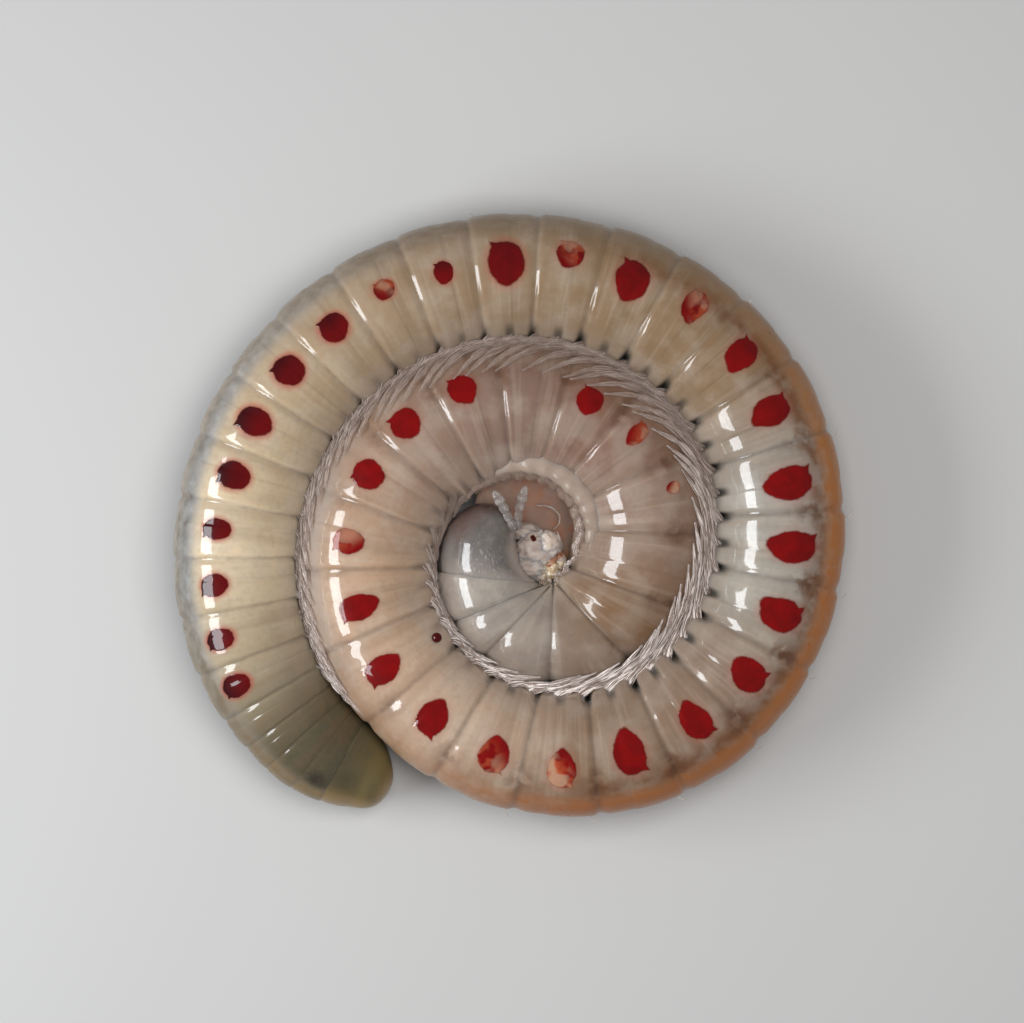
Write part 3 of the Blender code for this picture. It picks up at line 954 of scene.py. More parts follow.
@dataclass(frozen=True)
class SilverFinish(Finish):
    """Legs and feelers: silvery and see-through, with pale streaks of painted glint and a warm tinge.

    Attributes:
        thin: How much of the light the horn stops between its painted glint streaks.
        glint_thread_size: Length and width of a painted glint streak in mm.
        wrinkle: Depth of the wrinkles in mm.
    """

    thin: float = 0.48
    glint_thread_size: Span = (0.06, 0.0065)
    wrinkle: float = 0.0050

    def colour(self, bench: Bench) -> Tint:
        """Silver with warm patches, and bright painted glint streaks along it."""
        cloud = bench.noise(0.05, 3.0).eased(0.40, 0.65)
        return bench.layers(
            self.tone,
            (cloud * 0.5, self.toned(0.65)),
            # painted glints: pale streaks along the limb and a painted sheen on its edges
            (self.glint_threads(bench) * 0.85, (0.97, 0.87, 0.82)),
        )

    def glint_threads(self, bench: Bench) -> Wire:
        """Fine painted glint streaks along the limb, broken here and there, and a painted sheen on
        its edges.
        """
        fine = bench.streaks(*self.glint_thread_size, 2.0).eased(0.47, 0.56)
        return (fine * bench.mask("lit") * 0.85 + bench.mask("flank") * 0.4).eased(0.1, 0.9)

    def relief(self, bench: Bench) -> Wire:
        """The painted glint streaks stand out, and fine wrinkles catch the light."""
        return bench.bump(bench.noise(0.012, 2.0) + self.glint_threads(bench) * 0.35, self.wrinkle)

    def dress(self, bench: Bench) -> None:
        """Let the limb show what lies under it, a dull one more, and its painted glint streaks less.
        """
        thin = (bench.mask("lit") * 0.7 + 0.3) * self.thin
        bench.feed(bench.shader.inputs["Alpha"], thin + self.glint_threads(bench) * (0.95 - thin))


@dataclass(frozen=True)
class FloorFinish(Finish):
    """The plain pale floor."""

    def colour(self, bench: Bench) -> Tint:
        """One tone with the faintest cloud."""
        return bench.layers(self.tone, (bench.noise(2.0) * 0.1, (0.5, 0.5, 0.5)))

    def relief(self, bench: Bench) -> Wire:
        """A smooth matt board."""
        return bench.bump(bench.noise(0.2), 0.0004)


class Slot(Enum):
    """Names of material slots that the pieces are built with; nothing here reads them."""

    RING_WALL = "ring_wall"
    TAIL_HORN = "tail_horn"
    PEARL_HORN = "pearl_horn"
    MOUTH = "mouth"
    FEELER = "feeler"


@dataclass
class Workshop:
    """Turns shells into pieces of the model, at their place in the frame.

    Attributes:
        coil: The spiral that places are given on.
        solid_outline: The collum's solid: place along it, and share of the full width.
        solid_gap: What it keeps free at its ends, in mm.
        shift: Where the frame has the pivot of the coil.
    """

    coil: Coil
    solid_outline: Stations = ((0.0, 0.955), (0.15, 1.0), (0.8, 1.0), (1.0, 0.93))
    solid_gap: float = 0.006
    shift: Array = field(init=False)

    def __post_init__(self) -> None:
        """Find where the frame puts the pivot of the coil, by the solid behind the head."""
        low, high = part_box("collum")
        turns = np.radians(-90.0 + (np.arange(self.coil.facets) + 0.5) * 360 / self.coil.facets)
        place, share = np.array(self.solid_outline).T[..., None]
        own = self.coil.sections(self.coil.collum_bearing(place[:, 0])).spread()
        corners = own.place(
            own.half_width * share * np.cos(turns),
            own.half_height * share * np.sin(turns),
            self.solid_gap * ((place == 0.0) * 1.0 - (place == 1.0)),
        ).reshape(-1, 3)
        middle = (corners.min(axis=0) + corners.max(axis=0)) / 2 * MM
        self.shift = np.array((low + high) / 2) - middle
        self.shift[2] = 0.0

    def build(self, name: str, shell: Shell, finish: Finish, slot: Slot) -> bpy.types.Object:
        """Make a piece that rides on the animal's body.

        Args:
            name: The piece's name.
            shell: Its shape in mm about the pivot, and its masks.
            finish: Its finish.
            slot: The material slot that it belongs to; it is not used.

        Returns:
            The piece.
        """
        points = shell.points.copy()
        points[:, 2] = np.maximum(points[:, 2], 0.0)
        mesh = bpy.data.meshes.new(name)
        mesh.vertices.add(len(points))
        mesh.vertices.foreach_set("co", (points * MM + self.shift).astype(np.float32).ravel())
        corners = np.concatenate([shell.quads.ravel(), shell.tris.ravel()])
        mesh.loops.add(len(corners))
        mesh.loops.foreach_set("vertex_index", corners.astype(np.int32))
        sizes = np.concatenate([np.full(len(shell.quads), 4), np.full(len(shell.tris), 3)])
        mesh.polygons.add(len(sizes))
        starts = np.concatenate([[0], np.cumsum(sizes)[:-1]])
        mesh.polygons.foreach_set("loop_start", starts.astype(np.int32))
        mesh.update(calc_edges=True)
        mesh.validate()
        mesh.shade_smooth()
        for mask, values in shell.masks.items():
            layer = mesh.attributes.new(mask, "FLOAT", "POINT")
            layer.data.foreach_set("value", values.astype(np.float32))
        if shell.straight is not None:
            layer = mesh.attributes.new("straight", "FLOAT_VECTOR", "POINT")
            layer.data.foreach_set("vector", (shell.straight * MM).astype(np.float32).ravel())
        mesh.materials.append(finish.make())
        piece = bpy.data.objects.new(name, mesh)
        bpy.context.scene.collection.objects.link(piece)
        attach(piece, BODY)
        count = 2 * len(shell.quads) + len(shell.tris)
        LOG.info("%s: %d triangles, %s", name, count, finish.name)
        return piece


class GlandForm(Enum):
    """How full of its red fluid a gland is."""

    FULL = 0.0
    PARTLY = 0.42
    HOLLOW = 0.8


@dataclass
class Rings:
    """The ring walls, as two skins that meet under a ring's rim, and what lies on them.

    A gland row holds its ring, its phase in the ring, its distance to the back from the body's
    middle, and its size across and along the body. The bands and edges give the cosines of the
    turn, from the back, at which a mask has its middle and width, or starts and is full.
    """

    shop: Workshop
    relief: RingRelief = field(default_factory=RingRelief)
    sides: int = 144
    first_fore_ring: int = 20
    phases: tuple[float, ...] = (
        0.0, 0.02, 0.045, 0.075, 0.12, 0.18, 0.25, 0.33, 0.41, 0.49, 0.55,
        0.58, 0.60, 0.62, 0.65, 0.70, 0.76, 0.82, 0.88, 0.925, 0.96, 0.985,
    )  # fmt: skip
    rim_strength: Stations = (
        (128, 0.85), (170, 0.70), (230, 0.55), (300, 0.70), (350, 1.0), (430, 1.0), (452, 0.80),
        (475, 0.45), (520, 0.30), (560, 0.20), (640, 0.15), (950, 0.0),
    )  # fmt: skip
    shade_strength: Stations = (
        (128, 0.0), (270, 0.0), (305, 0.80), (350, 0.80), (420, 0.75), (470, 0.20), (560, 0.05),
        (620, 0.30), (700, 0.20), (800, 0.0), (950, 0.0),
    )  # fmt: skip
    # How strong the painted sheen is by bearing: a pale blue-grey on the back flanks of the turns
    # that face the key light.
    painted_sheen_strength: Stations = (
        (128, 0.0), (155, 0.4), (175, 1.0), (200, 1.0), (235, 0.3), (300, 0.0), (500, 0.0),
        (525, 0.5), (550, 0.5), (580, 0.0), (950, 0.0),
    )  # fmt: skip
    mottle_strength: Stations = (
        (128, 0.1), (170, 0.0), (300, 0.15), (345, 0.8), (430, 0.75), (500, 0.3), (560, 0.25),
        (620, 0.6), (700, 0.7), (800, 0.3), (950, 0.1),
    )  # fmt: skip
    smudge_bearings: Span = (135.8, 1.7)
    smudge_band: Span = (0.50, 0.17)
    smudge_rise: Span = (0.0, 0.6)
    mottle_width: float = 0.16
    seam_width: float = 0.03
    groove_seam: float = 0.45
    groove_seam_width: float = 0.016
    fan_seam_loss: float = 0.8
    tail_seam_loss: float = 0.7
    tail_seam: Span = (160.0, 140.0)
    striae_turn: Span = (0.05, 0.35)
    striae_end: float = 0.62
    striae_fade: Span = (-0.02, 0.06)
    # Where along a ring the painted shade in the slits between leg pairs lies, and how dark it is.
    slit_shade_phases: Span = (0.135, 0.05)
    slit_shade_strength: float = 1.3
    halo_reach: Span = (1.40, 0.90)
    halo_lengths: Span = (4.2, 2.2)
    halo_least: float = 0.35
    flank_band: Span = (0.46, 0.28)
    shade_band: Span = (0.58, 0.18)
    painted_sheen_band: Span = (0.80, 0.15)
    rim_edge: Span = (0.56, 0.82)
    coat_edge: Span = (0.55, 0.88)
    belly_edge: Span = (-0.60, -0.95)
    # Where round the belly the painted shade in the leg slits starts and is full.
    slit_shade_edge: Span = (-0.78, -0.93)
    swell_bearings: Span = (640.0, 770.0)
    swell: float = 0.105
    swell_power: float = 2.6
    swell_turn: Span = (0.62, 0.53)
    fan_bearings: Span = (740.0, 820.0)
    fan_smoothing: float = 0.62
    point_smoothing: float = 0.55
    tail_bearings: Span = (158.0, 138.0)
    tail_smoothing: float = 0.60
    end_row: float = 0.0004
    belly_depth: float = 0.090
    belly_power: float = 6.0
    free_share: float = 0.90
    lobe_strength: Stations = (
        (128, 0.0), (165, 0.0), (215, 0.20), (260, 0.55), (310, 0.85), (425, 0.85), (480, 0.40),
        (540, 0.25), (600, 0.25), (650, 0.10), (700, 0.0), (950, 0.0),
    )  # fmt: skip
    lobe_gap: Span = (0.13, 0.235)
    collar_from: float = 585.0
    cushion_bearings: Span = (700.0, 740.0)
    cushion_drop: float = 0.28
    cushion_power: float = 2.5
    glands: tuple[tuple[int, float, float, float, float], ...] = (
        (4, 0.53, 0.115, 0.185, 0.105), (5, 0.50, 0.108, 0.165, 0.100),
        (6, 0.51, 0.088, 0.150, 0.110), (7, 0.53, 0.076, 0.150, 0.105),
        (8, 0.53, 0.045, 0.175, 0.135), (9, 0.53, 0.052, 0.185, 0.140),
        (10, 0.55, 0.052, 0.165, 0.150), (11, 0.55, 0.046, 0.150, 0.145),
        (12, 0.54, 0.071, 0.105, 0.105), (13, 0.51, 0.044, 0.120, 0.095),
        (14, 0.52, 0.046, 0.235, 0.175), (15, 0.51, 0.109, 0.140, 0.135),
        (16, 0.53, 0.067, 0.205, 0.170), (17, 0.54, 0.108, 0.175, 0.115),
        (18, 0.53, 0.088, 0.195, 0.130), (19, 0.47, 0.058, 0.205, 0.140),
        (20, 0.57, 0.038, 0.235, 0.170), (21, 0.51, 0.042, 0.235, 0.160),
        (22, 0.50, 0.048, 0.220, 0.160), (23, 0.46, 0.041, 0.190, 0.160),
        (24, 0.45, 0.012, 0.200, 0.145), (25, 0.50, 0.012, 0.225, 0.165),
        (26, 0.47, 0.061, 0.195, 0.135), (27, 0.43, 0.052, 0.180, 0.150),
        (28, 0.45, 0.038, 0.200, 0.145), (29, 0.45, 0.058, 0.200, 0.130),
        (30, 0.43, 0.037, 0.195, 0.130), (31, 0.42, 0.066, 0.165, 0.115),
        (32, 0.46, 0.083, 0.170, 0.135), (33, 0.40, 0.106, 0.165, 0.140),
        (34, 0.40, 0.108, 0.160, 0.125), (36, 0.45, 0.087, 0.145, 0.120),
        (37, 0.40, 0.103, 0.140, 0.075), (38, 0.36, 0.135, 0.075, 0.050),
    )  # fmt: skip
    gland_lean: Stations = (
        (4, 0.0), (16, 0.0), (18, 0.55), (19, 0.35), (20, 0.0), (21, -0.30), (22, -0.60),
        (24, -0.2), (27, 0.2), (38, 0.2),
    )  # fmt: skip
    gland_forms: tuple[tuple[int, GlandForm], ...] = (
        (12, GlandForm.PARTLY), (15, GlandForm.PARTLY), (17, GlandForm.PARTLY),
        (26, GlandForm.HOLLOW), (27, GlandForm.PARTLY), (31, GlandForm.PARTLY),
        (37, GlandForm.PARTLY), (38, GlandForm.HOLLOW),
    )  # fmt: skip
    gland_rows: Stations = (
        (0.10, 1.0), (0.30, 1.0), (0.50, 1.0), (0.68, 1.0), (0.83, 1.0), (0.92, 0.9),
        (0.965, 0.7), (0.985, 0.5), (1.0, 0.3), (1.01, 0.0), (0.99, -1.0), (0.6, -1.0),
    )  # fmt: skip
    gland_seed: int = 5
    gland_ruffles: Stations = ((2, 0.030), (5, 0.022), (11, 0.012))
    gland_points: Span = (0.10, 0.26)
    gland_point_width: float = 0.42
    gland_point_from: Span = (2.2, 4.2)
    duct_turn: float = 0.62
    duct_width: float = 0.10
    duct_length: float = 0.20
    duct_hook: float = 0.16
    gland_lift: float = 0.0016
    gland_depth: float = 0.010
    gland_spokes: int = 72
    body_radius: float = 0.3
    droplet_bearing: float = 502.6
    droplet_turn: float = 141.0
    droplet_radius: float = 0.025
    droplet_rise: float = 0.55
    droplet_masks: tuple[tuple[str, float], ...] = (("drained", 0.0), ("dusk", 0.8), ("verge", 0.0))

    def belly(self, phase: Array, bearing: Array) -> Array:
        """How far the soft belly swells out between the legs.

        It fills most of what the turn inside leaves free. Each pair of legs has a lobe; round
        the hollow the lobes run together to a collar, and in the fan each ring is one cushion.

        Args:
            phase: Place along the ring.
            bearing: Bearing on the coil.

        Returns:
            The distance that the middle of the belly stands out.
        """
        coil = self.shop.coil
        places = np.arange(coil.reach[0][0], coil.reach[-1][0], 2.0)
        own = coil.sections(places)
        inner, apart = coil.turn_inside(own, places)
        free = (apart - own.half_width - inner.half_width) * self.free_share
        depth = np.where(places < self.collar_from, free, self.belly_depth)
        depth = np.interp(bearing, places, np.clip(depth, 0.0, self.belly_depth))
        first, second = LEG_PLACES
        stops = (second - 1, first, second, first + 1)
        off = np.min([np.abs(phase - stop) for stop in stops], axis=0)
        lobes = 1 - smooth_curve(self.lobe_strength, bearing) * ease(off, *self.lobe_gap)
        cushion = 1 - self.cushion_drop * np.abs(2 * phase - 1) ** self.cushion_power
        share = ease(bearing, *self.cushion_bearings)
        return depth * (lobes * (1 - share) + cushion * share)

    def wall(self, length: Array, turn: Array, lift: Array) -> Array:
        """Points on the ring walls.

        A point stands off the body's axis by the relief's share of the half sizes, times the
        cosine of the turn to the back and its sine upwards. In the fan each ring swells between
        its ends, because its belly side is squeezed. The soft belly stands out further.

        Args:
            length: Length along the body.
            turn: Turn round the body, from the back.
            lift: Distance off the wall.

        Returns:
            The points.
        """
        coil = self.shop.coil
        ring, phase = coil.ring_at(length)
        bearing = coil.bearing_at(length)
        inner = 1 - self.point_smoothing * np.minimum(np.cos(turn), 0.0)
        calm = 1 - self.fan_smoothing * ease(bearing, *self.fan_bearings) * inner
        calm = calm - self.tail_smoothing * ease(bearing, *self.tail_bearings)
        share = 1 - (1 - self.relief.share(np.clip(phase, 0.0, 1.0))) * calm
        sway = self.relief.sway * np.sin(ring * self.relief.sway_turn)
        share = share + sway * np.sin(np.pi * phase)
        swollen = self.swell * ease(bearing, *self.swell_bearings)
        even, leaning = self.swell_turn
        swollen = swollen * np.abs(2 * phase - 1) ** self.swell_power
        share = share - swollen * (even + leaning * np.cos(turn))
        own = coil.sections(bearing)
        soft = self.belly(phase, bearing) * np.maximum(-np.cos(turn), 0.0) ** self.belly_power
        return own.place(
            (own.half_width * share + lift) * np.cos(turn) - soft,
            (own.half_height * share + lift) * np.sin(turn),
            np.zeros_like(length),
        )

    def straightened(self, length: Array, turn: Array) -> Array:
        """Points where the wall would be if the body lay straight along X."""
        half = self.shop.coil.sections(self.shop.coil.bearing_at(length)).half_height
        return np.stack([length, half * np.cos(turn), half * np.sin(turn)], -1)

    def skin(self, first: int, last: int) -> Shell:
        """The skin of some rings, on a grid of lengths and turns.

        Args:
            first: The first ring.
            last: The ring after the last.

        Returns:
            The skin.
        """
        coil = self.shop.coil
        phases = np.array(self.phases)
        length = coil.length_in(np.arange(first, last)[:, None], phases).ravel()
        phase = np.tile(phases, last - first)
        near = self.end_row
        length = np.concatenate(
            [[length[0], length[0] + near], length[1:], [coil.ends[last] - near, coil.ends[last]]]
        )
        phase = np.concatenate([[0.0, 0.0], phase[1:], [1.0, 0.0]])
        grid, turn = np.meshgrid(length, turns_round(self.sides), indexing="ij")
        points = self.wall(grid, turn, np.zeros_like(grid))
        back, up = np.cos(turn), np.sin(turn)
        halo = self.halo(length, turn)
        phase, bearing = phase[:, None], coil.bearing_at(length)[:, None]
        low, high = coil.reach[0][0], coil.reach[-1][0]
        band, seam = (
            bell(phase, 0.0, width) + bell(phase, 1.0, width)
            for width in (self.mottle_width, self.seam_width)
        )
        groove = bell(phase, self.relief.groove_at, self.groove_seam_width)
        seam = seam + self.groove_seam * groove
        seam = seam * (1 - self.fan_seam_loss * ease(bearing, *self.fan_bearings))
        seam = seam * (1 - self.tail_seam_loss * ease(bearing, *self.tail_seam))
        smudge = bell(bearing, *self.smudge_bearings) * bell(back, *self.smudge_band)
        mottle = smooth_curve(self.mottle_strength, bearing) * band
        masks = {
            "journey": (bearing - low) / (high - low),
            "rim": smooth_curve(self.rim_strength, bearing) * ease(back, *self.rim_edge),
            "shade": smooth_curve(self.shade_strength, bearing) * bell(back, *self.shade_band),
            # painted sheen on the back flank, where it faces the key light
            "frost": smooth_curve(self.painted_sheen_strength, bearing) * bell(back, *self.painted_sheen_band),
            "smudge": smudge * ease(up, *self.smudge_rise),
            "mottle": mottle * bell(back, *self.flank_band),
            "seam": seam * (0.6 + 0.4 * np.abs(up)),
            "belly": ease(back, *self.belly_edge),
            # painted shade in the slits between the pairs of legs, on the belly side
            "gap": ease(back, *self.slit_shade_edge) * self.gap(phase, bearing),
            "edge": ease(back, *self.coat_edge),
            "striae": ease(-back, *self.striae_turn)
            * ease(self.striae_end - phase, *self.striae_fade),
            "halo": halo,
        }
        return close_tube(points, masks, self.straightened(grid, turn))

    def gap(self, phase: Array, bearing: Array) -> Array:
        """Painted shade in the slits between two pairs of legs: how near a slit is and how dark,
        which differs along the body.
        """
        first, second = LEG_PLACES
        middles = ((first + second) / 2, (first + second - 1) / 2, (first + second + 1) / 2)
        off = np.min([np.abs(phase - middle) for middle in middles], axis=0)
        size = 0.72 + 0.28 * np.sin(0.41 * bearing) + 0.12 * np.sin(0.093 * bearing)
        deep = self.slit_shade_strength * smooth_curve(self.lobe_strength, bearing) * size
        return ease(off, *self.slit_shade_phases) * np.clip(deep, 0.0, 1.0)

    def gland_places(self) -> tuple[Array, Array, Array, Array]:
        """The middle length, the turn, and the sizes across and along, of the upper glands."""
        coil = self.shop.coil
        ring, phase, out, across, along = np.array(self.glands).T
        length = coil.length_in(ring.astype(int), phase)
        half = coil.sections(coil.bearing_at(length)).half_width
        return length, np.arccos(out / half), across, along

    def halo(self, length: Array, turn: Array) -> Array:
        """The red bloom round the glands on both sides, from the distance in gland sizes.

        Args:
            length: Lengths of the skin's rows.
            turn: Turns of its corners, on the grid.

        Returns:
            The bloom at the grid's corners.
        """
        middle, at_turn, across, along = self.gland_places()
        near = np.argmin(np.abs(length[:, None] - middle), axis=1)
        ahead = (length - middle[near]) / (along[near] / 2)
        side = np.abs(np.where(turn > np.pi, turn - 2 * np.pi, turn))
        off = (side - at_turn[near][:, None]) * self.body_radius / (across[near] / 2)[:, None]
        bloom = ease(np.hypot(ahead[:, None], off), *self.halo_reach)
        least = self.halo_least
        return bloom * (least + (1 - least) * ease(length, *self.halo_lengths))[:, None]

    def gland_shell(self) -> Shell:
        """The glands as thin plates bent to the ring walls, on both sides of the body.

        A plate has rows from its middle out to its edge and back under. Its edge is a rounded
        drop with its point to the belly and, towards the tail at the back, a small hooked duct.
        """
        middle, at_turn, across, along = self.gland_places()
        count = len(middle)
        draw = np.random.default_rng(self.gland_seed)
        spoke = turns_round(self.gland_spokes)
        lean = smooth_curve(self.gland_lean, np.array([row[0] for row in self.glands], float))
        form = 1.0
        for waves, height in self.gland_ruffles:
            form = form + height * np.sin(spoke * waves + draw.uniform(0, 6, (count, 1)))
        pointed = draw.uniform(*self.gland_points, (count, 1))
        pointed = pointed * ease(middle, *self.gland_point_from)[:, None]
        tip = (spoke - np.pi + lean[:, None] + np.pi) % (2 * np.pi) - np.pi
        form = form + pointed * bell(tip, 0.0, self.gland_point_width)
        wrapped = (spoke + self.duct_turn + np.pi) % (2 * np.pi) - np.pi
        duct = bell(wrapped, 0.0, self.duct_width)
        form = form + self.duct_length * duct
        rows, lift = np.array(self.gland_rows).T
        height = np.where(lift > 0, lift * self.gland_lift, lift * self.gland_depth)
        reach = rows[None, :, None] * form[:, None, :]
        hook = self.duct_hook * duct * rows[None, :, None] ** 6
        ahead = (reach * np.sin(spoke) - hook) * (along / 2)[:, None, None]
        out = reach * np.cos(spoke) * (across / 2)[:, None, None]
        shells = []
        forms = dict(self.gland_forms)
        drained = [forms.get(gland[0], GlandForm.FULL).value for gland in self.glands]
        dusk = ease(middle, 5.6, 1.6)[:, None, None] * 0.85 + 0.10
        for side in (1.0, -1.0):
            length = middle[:, None, None] + ahead
            turn = side * (at_turn[:, None, None] - out / self.body_radius)
            shells.append(self.wall(length, turn, np.broadcast_to(height[:, None], length.shape)))
        shade = dusk * (0.55 + 0.45 * ease(reach * np.cos(spoke), -0.5, 0.9))
        bare = np.reshape(drained, (-1, 1, 1)) * ease(reach * np.cos(spoke + 2.4), 0.75, -0.35)
        verge = np.broadcast_to(ease(rows, 0.90, 0.99)[:, None], reach.shape)
        masks = {"drained": bare, "dusk": shade, "verge": verge}
        return close_tubes(
            np.concatenate(shells),
            {name: np.concatenate([value, value]) for name, value in masks.items()},
        )

    def droplet(self) -> Shell:
        """A dark drop of the glands' fluid on the belly flank: a ball sunk a little in the wall."""
        lifts = np.array([0.0, 0.01])
        length = self.shop.coil.length_at(self.droplet_bearing) + 0 * lifts
        foot, above = self.wall(length, np.radians(self.droplet_turn) + 0 * lifts, lifts)
        middle = foot + unit(above - foot) * self.droplet_radius * self.droplet_rise
        ball = ball_grid(24, 40, 0.06)[..., [1, 2, 0]] * (1, 1, -1)
        masks = {name: np.array(value) for name, value in self.droplet_masks}
        return close_tube(middle + ball * self.droplet_radius, masks)

    def build(self) -> None:
        """Build both skins, the glands and the droplet."""
        ivory = RingFinish("ivory ring wall", (0.6, 0.5, 0.36), roughness=0.30, coat=1.0)
        crimson = GlandFinish(
            "crimson gland", (0.190, 0.0, 0.0), roughness=0.40, coat=0.7, glow=0.0, sheen=0.05
        )
        trunk = sorted(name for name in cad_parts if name.startswith("trunk_"))
        split, count = self.first_fore_ring, self.shop.coil.ring_count
        slot = Slot.RING_WALL
        hind = self.shop.build("hind_ring_walls", self.skin(0, split), ivory, slot)
        fore = self.shop.build("fore_ring_walls", self.skin(split, count), ivory, slot)
        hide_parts("tail_rings", *trunk[10:])
        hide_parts(*trunk[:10])
        self.shop.build("gland_spots", self.gland_shell(), crimson, slot)
        self.shop.build("gland_droplet", self.droplet(), crimson, slot)


@dataclass
class Bristles:
    """The fine bristles that stand out behind the rims of some rings."""

    shop: Workshop
    rings: Rings
    bearings: tuple[float, ...] = (
        262.0, 281.0, 301.0, 320.0, 339.0, 358.0, 377.0, 396.0, 414.0, 433.0, 452.0, 471.0,
    )  # fmt: skip
    turn: float = 4.0
    phases: Span = (0.10, 0.01)
    length: float = 0.058
    root_depth: float = 0.006
    radii: Span = (0.0032, 0.0009)
    steps: int = 12
    sides: int = 12

    def shell(self) -> Shell:
        """Thin cones off the wall, which lean to the tail by the square of the place on them."""
        coil = self.shop.coil
        bearing = np.array(self.bearings)
        ring, _ = coil.ring_at(coil.length_at(bearing))
        place = np.linspace(0.0, 1.0, self.steps)
        first, last = self.phases
        length = coil.length_in(ring[:, None], first + (last - first) * place**2)
        longer = 1 + 0.25 * np.sin(bearing)
        lift = longer[:, None] * self.length * place - self.root_depth
        turn = np.radians(self.turn) * np.cos(bearing)[:, None] + 0 * lift
        paths = self.rings.wall(length, turn, lift)
        radii = np.broadcast_to(np.interp(place, (0, 1), self.radii), lift.shape)
        return limb_shell(carry_profile(paths, radii, self.sides), 0.1, 0.8 + 0 * bearing)

    def build(self) -> None:
        """Build the bristles."""
        clear = SilverFinish(
            "clear bristle", (0.55, 0.47, 0.40), roughness=0.2, coat=1.0, glow=0.0, thin=0.75
        )
        self.shop.build("rim_bristles", self.shell(), clear, Slot.FEELER)


@dataclass
class BellyFold:
    """The fold of soft belly deep in the hollow beside the head."""

    shop: Workshop
    middle: Span = (-0.010, 0.225)
    radius: float = 0.290
    level: float = 0.165
    rise: float = 0.060
    half_thickness: float = 0.012
    wave: float = 0.012
    rows: Stations = (
        (0.02, 1.0), (0.2, 1.0), (0.4, 1.0), (0.6, 1.0), (0.8, 1.0), (0.92, 1.0), (1.0, 0.5),
        (1.0, -0.5), (0.92, -1.0), (0.8, -1.0), (0.6, -1.0), (0.4, -1.0), (0.2, -1.0), (0.02, -1.0),
    )  # fmt: skip
    sides: int = 72
    collar_bearings: Span = (592.0, 744.0)
    collar_ride: Stations = ((592, 0.030), (630, 0.0), (675, -0.012), (720, -0.020), (744, -0.01))
    collar_height: float = 0.150
    collar_sink: float = 0.150
    collar_radius: float = 0.058
    collar_flatness: float = 0.75
    arc: tuple[Spread, ...] = (
        (0.008, 0.268, 0.225), (0.070, 0.262, 0.232), (0.118, 0.222, 0.232),
        (0.118, 0.178, 0.225), (0.092, 0.150, 0.215),
    )  # fmt: skip

    def collar(self) -> Shell:
        """The soft collar round the hollow: a tube along the belly of the rings there.

        Its radius and height fall off to both ends by roots of the sine of the place, and slow
        waves run along it.
        """
        coil = self.shop.coil
        place = np.linspace(0.0, 1.0, 120)
        first, last = self.collar_bearings
        bearing = first + (last - first) * place
        own = coil.sections(bearing)
        ride = smooth_curve(self.collar_ride, bearing)
        arch = np.sin(np.pi * np.clip(place, 0.02, 0.98))
        height = self.collar_height - self.collar_sink * (1 - arch**0.6)
        path = own.place(-own.half_width - ride, height, 0 * ride)
        radius = self.collar_radius * arch**0.35
        radius = radius * (1 + 0.05 * np.sin(bearing * 0.55) + 0.04 * np.sin(bearing * 0.23))
        grid = carry_profile(path[None], radius[None], 48, self.collar_flatness)
        return close_tubes(grid, {"deep": 0 * grid[..., 0]})

    def shell(self) -> Shell:
        """A thin dish: its floor rises by the square of the distance, with slow waves."""
        rows, side = np.array(self.rows).T[..., None]
        around = turns_round(self.sides)
        reach = rows * self.radius
        plan = np.stack([np.cos(around) * reach, np.sin(around) * reach], -1) + self.middle
        wave = self.wave * np.sin(22 * plan[..., 0] + 4) * np.cos(17 * plan[..., 1])
        up = self.level + self.rise * rows**2 + wave + self.half_thickness * side
        grid = np.concatenate([plan, up[..., None]], -1)
        # deep: painted shade, full in the low middle of the dish and gone at its rim
        return close_tube(grid, {"deep": ease(rows, 1.0, 0.4)})

    def build(self) -> None:
        """Build the fold, the collar round it, and the pale leg that lies in it."""
        soft = BellyFinish("soft belly fold", (0.34, 0.22, 0.165), roughness=0.35, coat=0.6)
        self.shop.build("belly_fold", self.shell(), soft, Slot.RING_WALL)
        pale = BellyFinish(
            "soft belly collar", (0.34, 0.265, 0.215), roughness=0.4, coat=0.35,
            cloud_tone=(0.25, 0.185, 0.145), stain=0.0,
        )  # fmt: skip
        self.shop.build("belly_collar", self.collar(), pale, Slot.RING_WALL)
        path = through_points(np.array([self.arc]), 60)
        radius = np.interp(np.linspace(0, 1, 60), (0, 0.5, 1), (0.003, 0.006, 0.004))
        thin = limb_shell(carry_profile(path, radius[None], 16), 0.3, np.array([0.6]))
        silver = SilverFinish("silver folded leg", (0.66, 0.47, 0.34), roughness=0.3, coat=0.5)
        self.shop.build("folded_leg", thin, silver, Slot.FEELER)


